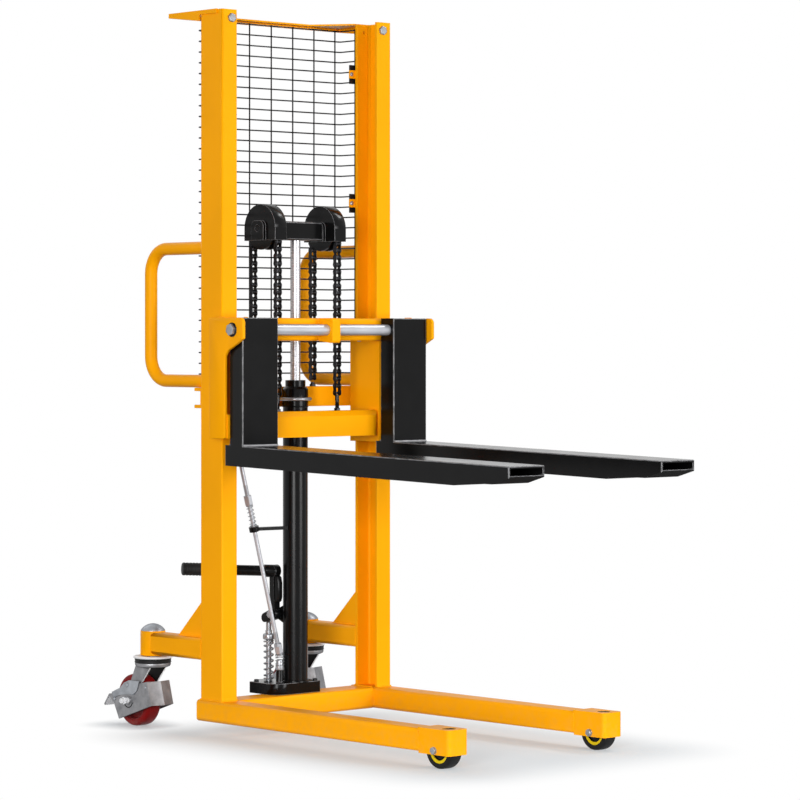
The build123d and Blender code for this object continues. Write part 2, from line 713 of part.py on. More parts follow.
# Carriage: end plates outside the forks
carriage_front = -52
carriage_rear = 5
ear_front = -118
ear_bottom = 931
rod_bolt_radius = 8
inner_end_x = carriage_half_width - end_plate
end_outline = [(carriage_rear, carriage_bottom), (carriage_rear, carriage_top), (ear_front, carriage_top),
               (ear_front, ear_bottom), (-62, 903), (carriage_front, 890), (carriage_front, carriage_bottom)]
end_piece = plate_x(end_outline, (inner_end_x, carriage_half_width))
ear_corner = (inner_end_x, ear_front, carriage_top)
end_piece = fillet(end_piece.edges().filter_by(Axis.X).sort_by_distance(ear_corner)[1:], 5)
end_piece = fillet(end_piece.edges().filter_by(Axis.X).sort_by_distance(ear_corner)[0], 12)
end_piece -= bar_x(rod_bolt_radius + running, (inner_end_x - 1, carriage_half_width + 1),
                   fork_rod_y, fork_rod_z)
save("end_plates", *both(end_piece))

# Carriage: upper crossbar, and roller plates that reach back between the posts
upper_bottom = 926
upper_rear = -14
upper_depth = upper_rear - carriage_front
upper_height = carriage_top - upper_bottom
save("upper_crossbar", rect_tube((-inner_end_x, (carriage_front + upper_rear) / 2,
                                  (upper_bottom + carriage_top) / 2), (1, 0, 0), (0, 1, 0),
                                 upper_depth, upper_height, tube_corner, tube_wall, 2 * inner_end_x))
roller_plate_thickness = 10
roller_plate_front = -30
roller_plate_rear = 76
roller_plate_bottom = 682
roller_axle_radius = 10
roller_heights = {"lower": 724, "upper": 938}
roller_plate_x_range = (roller_plate_x, roller_plate_x + roller_plate_thickness)
roller_plate = plate_x([(roller_plate_front, roller_plate_bottom), (roller_plate_rear, roller_plate_bottom),
                        (roller_plate_rear, carriage_top), (upper_rear, carriage_top),
                        (upper_rear, upper_bottom), (roller_plate_front, upper_bottom)], roller_plate_x_range)
for height in roller_heights.values():
    roller_plate -= bar_x(roller_axle_radius + running, (roller_plate_x - 1, roller_plate_x_range[1] + 1),
                          roller_y, height)
save("roller_plates", *both(roller_plate))

# Carriage: rollers in the posts on stub axles
roller_x_range = (222, 250)
axle_head = 4
axle_washer = 3
stub_axles = []
for level, height in roller_heights.items():
    roller = bar_x(roller_radius, roller_x_range, roller_y, height)
    roller = chamfer(roller.edges().filter_by(GeomType.CIRCLE), 2)
    roller -= bar_x(roller_axle_radius + running, roller_x_range, roller_y, height)
    save(f"left_{level}_roller", mirrored(roller))
    save(f"right_{level}_roller", roller)
    stub = bar_x(roller_axle_radius, (roller_plate_x, roller_x_range[1] + loose), roller_y, height)
    stub += bar_x(roller_axle_radius + 4, (roller_plate_x - axle_head, roller_plate_x), roller_y, height)
    stub += bar_x(roller_axle_radius + 4, (roller_plate_x_range[1], roller_x_range[0] - loose),
                  roller_y, height)
    washer_start = roller_x_range[1] + loose
    stub += bar_x(roller_axle_radius + 4, (washer_start, washer_start + axle_washer), roller_y, height)
    stub_axles += both(stub)
save("roller_axles", *stub_axles)

# Carriage: lower crossbar, a folded channel with closed round ends and tabs for the chain anchors
lower_front = -34
lower_rear = 6
lower_bottom = 698
lower_top = 759
lower_wall = 8
lower_bevel = 12
lower_corner = 20
tab_rear = 14
tab_half_width = 20


def channel_core(inset):
    """Filled lower crossbar, drawn in by an inset on the front, the ends, the top and the bottom."""
    front = lower_front + inset
    top = lower_top - inset
    end = roller_plate_x - inset
    bevel = lower_bevel - inset * (2 - math.sqrt(2))
    core = plate_x([(front, lower_bottom + inset), (lower_rear, lower_bottom + inset), (lower_rear, top),
                    (front + bevel, top), (front, top - bevel)], (-end, end))
    rounded = RectangleRounded(2 * end, 4 * lower_corner, lower_corner - inset)
    plan = Plane(origin=(0, front + 2 * lower_corner, lower_bottom)) * rounded
    return core & extrude(plan, amount=lower_top - lower_bottom)


lower_crossbar = channel_core(0) - channel_core(lower_wall)
lower_crossbar += block((-tab_half_width - pulley_x, tab_half_width - pulley_x), (lower_rear, tab_rear),
                        (lower_top - lower_wall, lower_top))
lower_crossbar += block((pulley_x - tab_half_width, pulley_x + tab_half_width), (lower_rear, tab_rear),
                        (lower_top - lower_wall, lower_top))
for side in (-1, 1):
    lower_crossbar -= bar_z(anchor_radius + running, side * pulley_x, chain_front_y,
                            (lower_top - lower_wall - 1, lower_top + 1))
rest_front = -54.7
rest_rear = -22
rest_top = 756
rest_bar = block((roller_plate_x_range[1], inner_end_x), (rest_front, rest_rear), (carriage_bottom, rest_top))
save("lower_crossbars", lower_crossbar, *both(rest_bar))
save("carriage_chain_anchors", *both(chain_anchor(chain_front_y, 737, lower_top - lower_wall, lower_top,
                                                  front_chain_bottom)))

# Carriage: fork rod with its bolts and centre bracket
rod_bolt_depth = 15
bracket_half_width = 12.5
fork_rod = bar_x(fork_rod_radius, (-inner_end_x, inner_end_x), fork_rod_y, fork_rod_z)
for hole in both(bar_x(rod_bolt_radius + running, (inner_end_x - rod_bolt_depth, inner_end_x + 1),
                       fork_rod_y, fork_rod_z)):
    fork_rod -= hole
save("fork_rod", fork_rod)
rod_bolt = bar_x(rod_bolt_radius, (inner_end_x - rod_bolt_depth, carriage_half_width), fork_rod_y, fork_rod_z)
rod_bolt += hexagon_bar(x_plane(carriage_half_width, fork_rod_y, fork_rod_z, 1), 24, 10)
save("rod_bolts", *both(rod_bolt))
centre_x_range = (-bracket_half_width, bracket_half_width)
rod_bracket_front = -102
rod_bracket = plate_x([(carriage_front, upper_bottom), (carriage_front, carriage_top),
                       (rod_bracket_front, carriage_top), (rod_bracket_front, 920)], centre_x_range)
rod_bracket = fillet(rod_bracket.edges().filter_by(Axis.X).group_by(Axis.Y)[0], 7)
rod_bracket -= bar_x(fork_rod_radius + running, centre_x_range, fork_rod_y, fork_rod_z)
save("rod_bracket", rod_bracket)

# Forks: welded box sections, with the shank on the fork rod and the blade open at its tip
shank_front = -103
shank_rear = -55
shank_foot = 670
fork_x_range = (fork_inner_x, fork_inner_x + fork_width)
fork_hollow_x = (fork_x_range[0] + fork_wall, fork_x_range[1] - fork_wall)
fork_bush_radius = 19


def blade(inset, tip, x_range):
    """Filled fork blade, drawn in by an inset, with its tip at a given place."""
    heel = fork_heel - inset
    points = [(heel, 637.7 + inset), (-810, 617.8 + inset), (-874, 623.8 + inset), (-928.5, 623.7 + inset),
              (tip, 638.4 + inset), (tip, fork_tip_top - inset), (heel, fork_heel_top - inset)]
    return plate_x(points, x_range)


fork = blade(0, fork_tip, fork_x_range)
fork += block(fork_x_range, (shank_front, shank_rear), (shank_foot, carriage_top))
fork = fillet(fork.edges().filter_by(Axis.Z).group_by(Axis.Z)[-1], 4)
fork -= blade(fork_wall, fork_tip - 1, fork_hollow_x)
fork -= block(fork_hollow_x, (shank_front + fork_wall, shank_rear - fork_wall),
              (fork_heel_top, carriage_top - fork_wall))
fork += bar_x(fork_bush_radius, fork_x_range, fork_rod_y, fork_rod_z)
fork -= bar_x(fork_rod_radius + running, fork_x_range, fork_rod_y, fork_rod_z)
save("left_fork", mirrored(fork))
save("right_fork", fork)

# Load wheels: tyre and rim
load_rim_radius = 35
load_wheel_x = (leg_middle_x - load_wheel_width / 2, leg_middle_x + load_wheel_width / 2)
load_tyre = bar_x(load_wheel_radius, load_wheel_x, load_axle_y, load_wheel_radius)
load_tyre = fillet(load_tyre.edges().filter_by(GeomType.CIRCLE), 4)
load_tyre -= bar_x(load_rim_radius, load_wheel_x, load_axle_y, load_wheel_radius)
load_rim = bar_x(load_rim_radius, load_wheel_x, load_axle_y, load_wheel_radius)
load_rim -= bar_x(load_axle_radius + running, load_wheel_x, load_axle_y, load_wheel_radius)
save("left_load_wheel", mirrored(load_tyre), mirrored(load_rim))
save("right_load_wheel", load_tyre, load_rim)

# Casters: yoke with stem and axle bolt, wheel, and brake frame on the axle
head_radius = 47
head_bottom = 166
head_top = 172
crown_radius = 43
crown_bottom = 146
yoke_inner = 22
yoke_outer = 26
yoke_foot = 13
caster_axle_radius = 6
axle_half = 34
brake_inner = 31
caster_core_radius = 48
caster_hub_half = 21
caster_z = caster_wheel_radius
tread_half = caster_wheel_width / 2


def beside(low, high, sign):
    """X range beside the caster's middle plane, on one side of it."""
    return tuple(sorted((post_middle_x + sign * low, post_middle_x + sign * high)))


across_axle = beside(-axle_half, axle_half, 1)
yoke = bar_z(stem_radius, post_middle_x, caster_y, (crown_bottom, socket_top - 2))
yoke += bar_z(head_radius, post_middle_x, caster_y, (head_bottom, head_top))
yoke += bar_z(crown_radius, post_middle_x, caster_y, (crown_bottom, head_bottom))
for sign in (-1, 1):
    yoke += plate_x([(264, crown_bottom), (323, crown_bottom), (caster_axle_y + yoke_foot, caster_z),
                     (caster_axle_y - yoke_foot, caster_z)], beside(yoke_inner, yoke_outer, sign))
    yoke += bar_x(yoke_foot, beside(yoke_inner, yoke_outer, sign), caster_axle_y, caster_z)
yoke -= bar_x(caster_axle_radius + running, across_axle, caster_axle_y, caster_z)
caster_axle = bar_x(caster_axle_radius, across_axle, caster_axle_y, caster_z)
for sign in (-1, 1):
    end_x = post_middle_x + sign * axle_half
    caster_axle += hexagon_bar(x_plane(end_x + sign * loose, caster_axle_y, caster_z, sign), 17, 7)
    caster_axle += bar_x(caster_axle_radius, beside(axle_half, axle_half + 1, sign), caster_axle_y, caster_z)

tread = beside(-tread_half, tread_half, 1)
caster_tyre = bar_x(caster_wheel_radius, tread, caster_axle_y, caster_z)
caster_tyre = fillet(caster_tyre.edges().filter_by(GeomType.CIRCLE), 6)
caster_tyre -= bar_x(caster_core_radius, tread, caster_axle_y, caster_z)
caster_core = bar_x(caster_core_radius, tread, caster_axle_y, caster_z)
caster_core += bar_x(14, beside(-caster_hub_half, caster_hub_half, 1), caster_axle_y, caster_z)
caster_core -= bar_x(caster_axle_radius + running, across_axle, caster_axle_y, caster_z)

brake_cover_top = 112
brake_cover_run = Vector(0, -16, -56)
brake_cover = [(-axle_half, 269), (0, 259), (axle_half, 269), (axle_half, 272), (0, 262), (-axle_half, 272)]
brake_cover_points = [(post_middle_x + x, y, brake_cover_top) for x, y in brake_cover]
brake_cover_face = make_face(Polyline(*brake_cover_points, close=True))
brake_pedal = [(409, 68), (418, 73), (brake_rear, 46), (434, 43), (417, 67), (411, 63.5)]
brake_side = [(269, brake_cover_top), (253, 56), (379, 15), (397, 50), (417, 70), (301, 106)]
brake = extrude(brake_cover_face, amount=brake_cover_run.length, dir=brake_cover_run.normalized())
brake += plate_x(brake_pedal, across_axle)
for sign in (-1, 1):
    brake += plate_x(brake_side, beside(brake_inner, axle_half, sign))
brake -= bar_x(caster_axle_radius + running, across_axle, caster_axle_y, caster_z)
save("left_caster_yoke", mirrored(yoke), mirrored(caster_axle))
save("right_caster_yoke", yoke, caster_axle)
save("left_caster_wheel", mirrored(caster_tyre), mirrored(caster_core))
save("right_caster_wheel", caster_tyre, caster_core)
save("left_caster_brake", mirrored(brake))
save("right_caster_brake", brake)
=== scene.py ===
import math

import bmesh
import bpy
from bpy.props import FloatProperty, FloatVectorProperty, IntProperty, PointerProperty
from mathutils import Matrix, Vector


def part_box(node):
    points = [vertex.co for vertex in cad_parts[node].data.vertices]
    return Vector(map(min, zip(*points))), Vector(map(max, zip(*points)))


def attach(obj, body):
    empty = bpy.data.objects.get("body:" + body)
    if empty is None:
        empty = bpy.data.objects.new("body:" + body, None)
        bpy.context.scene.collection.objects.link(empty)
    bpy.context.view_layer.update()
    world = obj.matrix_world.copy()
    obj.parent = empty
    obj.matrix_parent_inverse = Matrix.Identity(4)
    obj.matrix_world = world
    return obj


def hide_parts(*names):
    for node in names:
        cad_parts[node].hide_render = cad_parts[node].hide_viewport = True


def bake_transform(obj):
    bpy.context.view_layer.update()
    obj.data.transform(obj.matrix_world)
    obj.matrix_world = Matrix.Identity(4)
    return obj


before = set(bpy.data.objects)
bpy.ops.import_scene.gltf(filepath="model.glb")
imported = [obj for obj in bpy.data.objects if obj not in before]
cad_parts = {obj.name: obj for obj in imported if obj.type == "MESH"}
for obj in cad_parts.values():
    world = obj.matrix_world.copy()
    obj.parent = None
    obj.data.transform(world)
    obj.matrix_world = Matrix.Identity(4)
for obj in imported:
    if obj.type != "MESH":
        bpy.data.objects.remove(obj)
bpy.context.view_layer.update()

bl_info = {
    "name": "Pallet Stacker",
    "version": (1, 0, 0),
    "blender": (4, 5, 0),
    "location": "View3D > Sidebar > Stacker",
    "description": "Dresses a manual pallet stacker with finishes, chains, guard, welds, wheels and studio",
    "category": "Object",
}

# Places read from the frame, in metres
post_low, post_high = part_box("right_mast_post")
mast_front = post_low[1]
mast_rear = post_high[1]
pulley_low, pulley_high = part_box("right_chain_pulley")
pulley_x, pulley_y, pulley_z = ((low + high) / 2 for low, high in zip(pulley_low, pulley_high))
front_run_low, front_run_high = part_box("front_chain_runs")
rear_run_low, rear_run_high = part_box("rear_chain_runs")
chain_front_y = (front_run_low[1] + front_run_high[1]) / 2
chain_rear_y = (rear_run_low[1] + rear_run_high[1]) / 2
front_run = pulley_z - front_run_low[2]
wrap_radius = (chain_rear_y - chain_front_y) / 2
guard_low, guard_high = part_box("guard_mesh")
spring_low, spring_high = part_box("pump_spring")

SIDES = {"left": -1, "right": 1}
ALONG_X, ALONG_Y, UP = (1, 0, 0), (0, 1, 0), (0, 0, 1)
FORWARD, DOWN = (0, -1, 0), (0, 0, -1)


def at(x, y, z):
    """A point in millimetres, measured on the floor from the middle of the mast's front face."""
    return Vector((x / 1000, mast_front + y / 1000, z / 1000))


def metres(outline):
    """Pairs in millimetres turned into metres."""
    return [(first / 1000, second / 1000) for first, second in outline]


# Places that more than one piece uses, in millimetres
CYLINDER_Y = 47.5
FORK_ROD_Y, FORK_ROD_Z = -80, 952
CASTER_X, SWIVEL_Y = 242.5, 289
CASTER_AXLE_Y, CASTER_AXLE_Z = 342, 62.5
LOAD_WHEEL_X, LOAD_AXLE_Y, LOAD_AXLE_Z = 240, -729, 41
VALVE_X, VALVE_Y, ROD_FOOT_Z = -42, 56, 178
ROD_HEAD_X, ROD_HEAD_Y, ROD_HEAD_Z = -187, 62, 749
ROD_SLOPE = (VALVE_X - ROD_HEAD_X) / (ROD_HEAD_Z - ROD_FOOT_Z)
rod_foot = at(VALVE_X, VALVE_Y, ROD_FOOT_Z)
rod_head = at(ROD_HEAD_X, ROD_HEAD_Y, ROD_HEAD_Z)


def on_rod(z):
    """The point of the release rod's axis at a height in millimetres."""
    return rod_foot.lerp(rod_head, (z - ROD_FOOT_Z) / (ROD_HEAD_Z - ROD_FOOT_Z))


def load_axle(x):
    """The point of the load wheels' axles at an X in millimetres."""
    return at(x, LOAD_AXLE_Y, LOAD_AXLE_Z)


def caster_axle(x):
    """The point of the casters' axles at an X in millimetres."""
    return at(x, CASTER_AXLE_Y, CASTER_AXLE_Z)


class StackerSizes(bpy.types.PropertyGroup):
    """Sizes of the dressed pieces"""

    wire_radius: FloatProperty(name="Guard wire radius", description="Radius of a guard wire",
                               default=0.00175, unit="LENGTH")
    guard_rows: IntProperty(name="Guard rows", description="Level wires in the guard", default=34)
    guard_column: FloatProperty(name="Guard column", description="Distance between upright wires",
                                default=0.068, unit="LENGTH")
    chain_pitch: FloatProperty(name="Chain pitch", description="Distance between chain pins",
                               default=0.0171, unit="LENGTH")
    weld_radius: FloatProperty(name="Weld size", description="Leg length of a weld bead",
                               default=0.004, unit="LENGTH")
    edge_round: FloatProperty(name="Edge round", description="Rounding of plate edges",
                              default=0.0012, unit="LENGTH")


class StackerColours(bpy.types.PropertyGroup):
    """Colours of the finishes"""

    yellow: FloatVectorProperty(name="Frame paint", description="Paint of the mast, legs and carriage",
                                subtype="COLOR", size=3, min=0, max=1, default=(1.0, 0.405, 0.002))
    black: FloatVectorProperty(name="Black paint", description="Paint of the forks and the lift",
                               subtype="COLOR", size=3, min=0, max=1, default=(0.0034, 0.0034, 0.0036))
    red: FloatVectorProperty(name="Caster tread", description="Tread of the caster wheels",
                             subtype="COLOR", size=3, min=0, max=1, default=(0.2, 0.005, 0.005))
    zinc: FloatVectorProperty(name="Zinc plate", description="Plating of bolts and casters",
                              subtype="COLOR", size=3, min=0, max=1, default=(0.40, 0.42, 0.45))
    rim: FloatVectorProperty(name="Load wheel rim", description="Rims of the load wheels",
                             subtype="COLOR", size=3, min=0, max=1, default=(0.72, 0.52, 0.01))
    floor: FloatVectorProperty(name="Floor", description="Studio floor", subtype="COLOR", size=3,
                               min=0, max=1, default=(0.60, 0.64, 0.67))


def sizes():
    """The sizes in use."""
    return bpy.context.scene.stacker_sizes


def tint(colour, share=1.0):
    """A colour in use by its name, or one as given, dimmed to a share and with full alpha."""
    channels = getattr(bpy.context.scene.stacker_colours, colour) if isinstance(colour, str) else colour
    return (*[channel * share for channel in channels], 1)


# Shader nodes

def feed(tree, socket, value):
    """An input fed by another socket or set to a value."""
    if isinstance(value, bpy.types.NodeSocket):
        tree.links.new(value, socket)
    else:
        socket.default_value = value


def add_node(tree, kind, **values):
    """A node with its settings, and then its inputs, named in small letters."""
    made = tree.nodes.new(kind)
    for key, value in values.items():
        title = key.replace("_", " ").title()
        if title in made.inputs:
            feed(tree, made.inputs[title], value)
        else:
            setattr(made, key, value)
    return made


def maths(tree, operation, *values, kind="ShaderNodeMath"):
    """A sum on values or sockets in order."""
    made = add_node(tree, kind, operation=operation)
    for socket, value in zip(made.inputs, values):
        feed(tree, socket, value)
    return made.outputs[0]


def map_range(tree, source, low, high, from_low=0.3, from_high=0.7):
    """The source's middle range spread over a new range."""
    return add_node(tree, "ShaderNodeMapRange", value=source, from_min=from_low, from_max=from_high,
                    to_min=low, to_max=high).outputs["Result"]


def object_place(tree):
    """Where a point lies on its own piece."""
    return add_node(tree, "ShaderNodeTexCoord").outputs["Object"]


def noise(tree, place, **values):
    """Noise at a place, with its own scale and detail."""
    return add_node(tree, "ShaderNodeTexNoise", vector=place, **values).outputs["Fac"]


def blend_colours(tree, share, first, second):
    """A mix of two colours."""
    return add_node(tree, "ShaderNodeMix", data_type="RGBA", factor=share, a=first,
                    b=second).outputs["Result"]


# Node groups that more than one finish uses
FLOAT, COLOUR, DIRECTION = "NodeSocketFloat", "NodeSocketColor", "NodeSocketVector"
SKIN_OUTPUTS = [("Color", COLOUR), ("Roughness", FLOAT), ("Height", FLOAT)]


def new_group(name, inputs, outputs):
    """An empty shader node group with named sockets: its tree, what comes in and what goes out."""
    tree = bpy.data.node_groups.new(name, "ShaderNodeTree")
    for socket, kind, value in inputs:
        tree.interface.new_socket(name=socket, in_out="INPUT", socket_type=kind).default_value = value
    for socket, kind in outputs:
        tree.interface.new_socket(name=socket, in_out="OUTPUT", socket_type=kind)
    return tree, tree.nodes.new("NodeGroupInput").outputs, tree.nodes.new("NodeGroupOutput").inputs


def paint_skin_group():
    """Sprayed paint: slow shade changes, uneven gloss and a fine orange peel."""
    if "paint_skin" in bpy.data.node_groups:
        return bpy.data.node_groups["paint_skin"]
    tree, given, end = new_group(
        "paint_skin",
        [("Color", COLOUR, (0.8, 0.8, 0.8, 1)), ("Shade", FLOAT, 0.06), ("Blotch Scale", FLOAT, 6.0),
         ("Peel Scale", FLOAT, 420.0), ("Gloss Low", FLOAT, 0.28), ("Gloss High", FLOAT, 0.42)],
        SKIN_OUTPUTS)
    place = object_place(tree)
    blotch = noise(tree, place, detail=3.0, roughness=0.55, scale=given["Blotch Scale"])
    change = maths(tree, "MULTIPLY", map_range(tree, blotch, -1, 1), given["Shade"])
    shaded = add_node(tree, "ShaderNodeVectorMath", operation="SCALE", vector=given["Color"],
                      scale=maths(tree, "ADD", change, 1.0))
    feed(tree, end["Color"], shaded.outputs[0])
    smear = noise(tree, place, scale=23.0, detail=4.0)
    feed(tree, end["Roughness"], map_range(tree, smear, given["Gloss Low"], given["Gloss High"], 0, 1))
    feed(tree, end["Height"], noise(tree, place, detail=2.0, scale=given["Peel Scale"]))
    return tree


def metal_grain_group():
    """Worked metal: a stretched grain in gloss and height, and cloudy plating in shade."""
    if "metal_grain" in bpy.data.node_groups:
        return bpy.data.node_groups["metal_grain"]
    tree, given, end = new_group(
        "metal_grain",
        [("Color", COLOUR, (0.6, 0.6, 0.6, 1)), ("Dark Color", COLOUR, (0.3, 0.3, 0.3, 1)),
         ("Grain Direction", DIRECTION, (40.0, 900.0, 900.0)), ("Cloud Scale", FLOAT, 60.0),
         ("Gloss Low", FLOAT, 0.15), ("Gloss High", FLOAT, 0.35)],
        SKIN_OUTPUTS)
    place = object_place(tree)
    stretched = maths(tree, "MULTIPLY", place, given["Grain Direction"], kind="ShaderNodeVectorMath")
    grain = noise(tree, stretched, scale=1.0, detail=3.0)
    cloud = noise(tree, place, detail=4.0, roughness=0.6, scale=given["Cloud Scale"])
    plated = blend_colours(tree, map_range(tree, cloud, 0, 1), given["Dark Color"], given["Color"])
    feed(tree, end["Color"], plated)
    feed(tree, end["Roughness"], map_range(tree, grain, given["Gloss Low"], given["Gloss High"], 0, 1))
    feed(tree, end["Height"], grain)
    return tree


def floor_dust_group():
    """Pale dust that thins out with height above the floor."""
    if "floor_dust" in bpy.data.node_groups:
        return bpy.data.node_groups["floor_dust"]
    tree, given, end = new_group(
        "floor_dust",
        [("Color", COLOUR, (0.5, 0.5, 0.5, 1)), ("Dust Color", COLOUR, (0.30, 0.27, 0.23, 1)),
         ("Reach", FLOAT, 0.12), ("Amount", FLOAT, 0.25)],
        [("Color", COLOUR)])
    place = object_place(tree)
    split = add_node(tree, "ShaderNodeSeparateXYZ", vector=place)
    thinned = map_range(tree, split.outputs["Z"], 1.0, 0.0, 0.0, given["Reach"])
    specks = map_range(tree, noise(tree, place, scale=70.0, detail=5.0), 0, 1, 0.4, 0.75)
    dusty = maths(tree, "MULTIPLY", maths(tree, "MULTIPLY", thinned, specks), given["Amount"])
    feed(tree, end["Color"], blend_colours(tree, dusty, given["Color"], given["Dust Color"]))
    return tree


# Finishes

PAINTS = {
    "frame_paint": dict(colour="yellow", shade=0.04, gloss_low=0.30, gloss_high=0.44, specular=0.05,
                        bump=0.06, depth=0.0004, dust=0.16, reach=0.1),
    "satin_black": dict(colour="black", shade=0.25, blotch_scale=14.0, peel_scale=900.0, gloss_low=0.15,
                        gloss_high=0.26, specular=0.13, bump=0.05, depth=0.0003),
    "shaded_black": dict(colour="black", shade=0.25, blotch_scale=14.0, peel_scale=900.0, gloss_low=0.70,
                         gloss_high=0.85, specular=0.03, bump=0.05, depth=0.0003),
    # The lighter grey below goes on the rounded edges of the black pieces: a painted highlight.
    "rubbed_edge": dict(colour=(0.11, 0.11, 0.115), shade=0.6, blotch_scale=45.0, peel_scale=700.0,
                        gloss_low=0.18, gloss_high=0.34, specular=0.35, bump=0.05, depth=0.0003),
    "rim_paint": dict(colour="rim", shade=0.06, blotch_scale=30.0, peel_scale=500.0, gloss_low=0.34,
                      gloss_high=0.48, specular=0.05, bump=0.05, depth=0.0003),
    "red_tread": dict(colour="red", shade=0.14, blotch_scale=30.0, peel_scale=260.0, gloss_low=0.20,
                      gloss_high=0.36, specular=0.08, bump=0.05, depth=0.0004, dust=0.30, reach=0.02),
    "red_core": dict(colour="red", share=0.7, shade=0.2, blotch_scale=45.0, peel_scale=500.0,
                     gloss_low=0.32, gloss_high=0.5, specular=0.5, bump=0.08, depth=0.0004),
    "black_rubber": dict(colour=(0.006, 0.006, 0.006), shade=0.3, blotch_scale=40.0, peel_scale=1200.0,
                         gloss_low=0.48, gloss_high=0.66, specular=0.2, bump=0.15, depth=0.0004),
}
METALS = {
    "bright_rod": dict(colour=(0.54, 0.555, 0.59), dark=(0.44, 0.455, 0.49), bump=0.03, bare=0.5,
                       grain_direction=(25.0, 700.0, 700.0), cloud_scale=12.0, gloss_low=0.26,
                       gloss_high=0.38),
    "piston_chrome": dict(colour=(0.56, 0.56, 0.58), dark=(0.48, 0.48, 0.50), bump=0.03, bare=0.6,
                          grain_direction=(60.0, 60.0, 1400.0), cloud_scale=10.0, gloss_low=0.22,
                          gloss_high=0.32),
    "zinc_plate": dict(colour="zinc", dark="zinc", dark_share=0.72, bump=0.06, bare=0.65,
                       grain_direction=(300.0, 300.0, 300.0), cloud_scale=55.0, gloss_low=0.26,
                       gloss_high=0.44),
    "pressed_steel": dict(colour=(0.34, 0.34, 0.35), dark=(0.20, 0.20, 0.21), bump=0.08, bare=0.8,
                          grain_direction=(120.0, 500.0, 120.0), cloud_scale=40.0, gloss_low=0.30,
                          gloss_high=0.50),
    # The near-white below is the axle sleeves' own bright plating, and a painted highlight on the caster
    # faces that face the front and on the head plates.
    "bright_plate": dict(colour=(0.92, 0.93, 0.95), dark=(0.80, 0.81, 0.83), bump=0.05, bare=0.04,
                         grain_direction=(90.0, 90.0, 400.0), cloud_scale=30.0, gloss_low=0.38,
                         gloss_high=0.52),
    "black_steel": dict(colour=(0.045, 0.045, 0.047), dark=(0.02, 0.02, 0.02), bump=0.05, bare=1.0,
                        grain_direction=(300.0, 300.0, 300.0), cloud_scale=70.0, gloss_low=0.30,
                        gloss_high=0.48),
    "oiled_steel": dict(colour=(0.055, 0.055, 0.058), dark=(0.018, 0.018, 0.02), bump=0.05, bare=1.0,
                        grain_direction=(400.0, 400.0, 400.0), cloud_scale=90.0, gloss_low=0.22,
                        gloss_high=0.42),
}
METAL_BUMP_DEPTH = 0.0002
METAL_FILM = (0.12, 0.12, 0.13, 1)


def new_finish(name):
    """A material with only its Principled BSDF and output, and its tree."""
    made = bpy.data.materials.new(name)
    made.use_nodes = True
    tree = made.node_tree
    return made, tree, tree.nodes["Principled BSDF"]


def clothe(tree, shader, skin, colour, strength, depth):
    """A skin's colour, gloss and bump on a shader."""
    feed(tree, shader.inputs["Base Color"], colour)
    feed(tree, shader.inputs["Roughness"], skin.outputs["Roughness"])
    raised = add_node(tree, "ShaderNodeBump", strength=strength, distance=depth,
                      height=skin.outputs["Height"])
    feed(tree, shader.inputs["Normal"], raised.outputs["Normal"])


def painted(name, colour, specular, bump, depth, share=1.0, dust=0.0, reach=0.0, **skin_values):
    """Paint, rubber or plastic, with dust near the floor where it is asked for."""
    made, tree, shader = new_finish(name)
    skin = add_node(tree, "ShaderNodeGroup", node_tree=paint_skin_group(), color=tint(colour, share),
                    **skin_values)
    shade = skin.outputs["Color"]
    if dust:
        shade = add_node(tree, "ShaderNodeGroup", node_tree=floor_dust_group(), color=shade, amount=dust,
                         reach=reach).outputs["Color"]
    clothe(tree, shader, skin, shade, bump, depth)
    shader.inputs["Specular IOR Level"].default_value = specular
    return made


def worked_metal(name, colour, dark, bump, bare, dark_share=1.0, **skin_values):
    """A bare or plated metal with its own grain and gloss; bare says how free of film it is."""
    made, tree, shader = new_finish(name)
    skin = add_node(tree, "ShaderNodeGroup", node_tree=metal_grain_group(), color=tint(colour),
                    dark_color=tint(dark, dark_share), **skin_values)
    clothe(tree, shader, skin, skin.outputs["Color"], bump, METAL_BUMP_DEPTH)
    shader.inputs["Metallic"].default_value = bare
    shader.inputs["Specular Tint"].default_value = METAL_FILM
    return made


def finish(name):
    """A finish, made the first time that it is asked for."""
    if name in bpy.data.materials:
        return bpy.data.materials[name]
    return painted(name, **PAINTS[name]) if name in PAINTS else worked_metal(name, **METALS[name])


# Mesh builders

def round_about(axis):
    """An axis's direction and two directions square to it."""
    along = Vector(axis).normalized()
    normal = along.orthogonal().normalized()
    return along, normal, along.cross(normal)


def circle(centre, normal, side, radius, steps):
    """Points of a circle in the plane of two directions."""
    turns = [2 * math.pi * step / steps for step in range(steps)]
    return [centre + radius * (math.cos(turn) * normal + math.sin(turn) * side) for turn in turns]


def ring_faces(bm, first, second):
    """Quads, or triangles to a single point, between two rings of vertices."""
    count = max(len(first), len(second))
    for step in range(count):
        after = (step + 1) % count
        corners = [first[step % len(first)], first[after % len(first)],
                   second[after % len(second)], second[step % len(second)]]
        bm.faces.new(list(dict.fromkeys(corners)))


def tube(bm, points, radius, sides):
    """A round bar through points, closed at both ends, with one radius or one for each point."""
    points = [Vector(point) for point in points]
    radii = radius if isinstance(radius, list) else [radius] * len(points)
    normal = (points[1] - points[0]).orthogonal().normalized()
    rings = []
    for index, point in enumerate(points):
        before = points[max(index - 1, 0)]
        after = points[min(index + 1, len(points) - 1)]
        along = (after - before).normalized()
        normal = (normal - along * normal.dot(along)).normalized()
        spots = circle(point, normal, along.cross(normal), radii[index], sides)
        rings.append([bm.verts.new(spot) for spot in spots])
    for first, second in zip(rings, rings[1:]):
        ring_faces(bm, first, second)
    bm.faces.new(list(reversed(rings[0])))
    bm.faces.new(rings[-1])


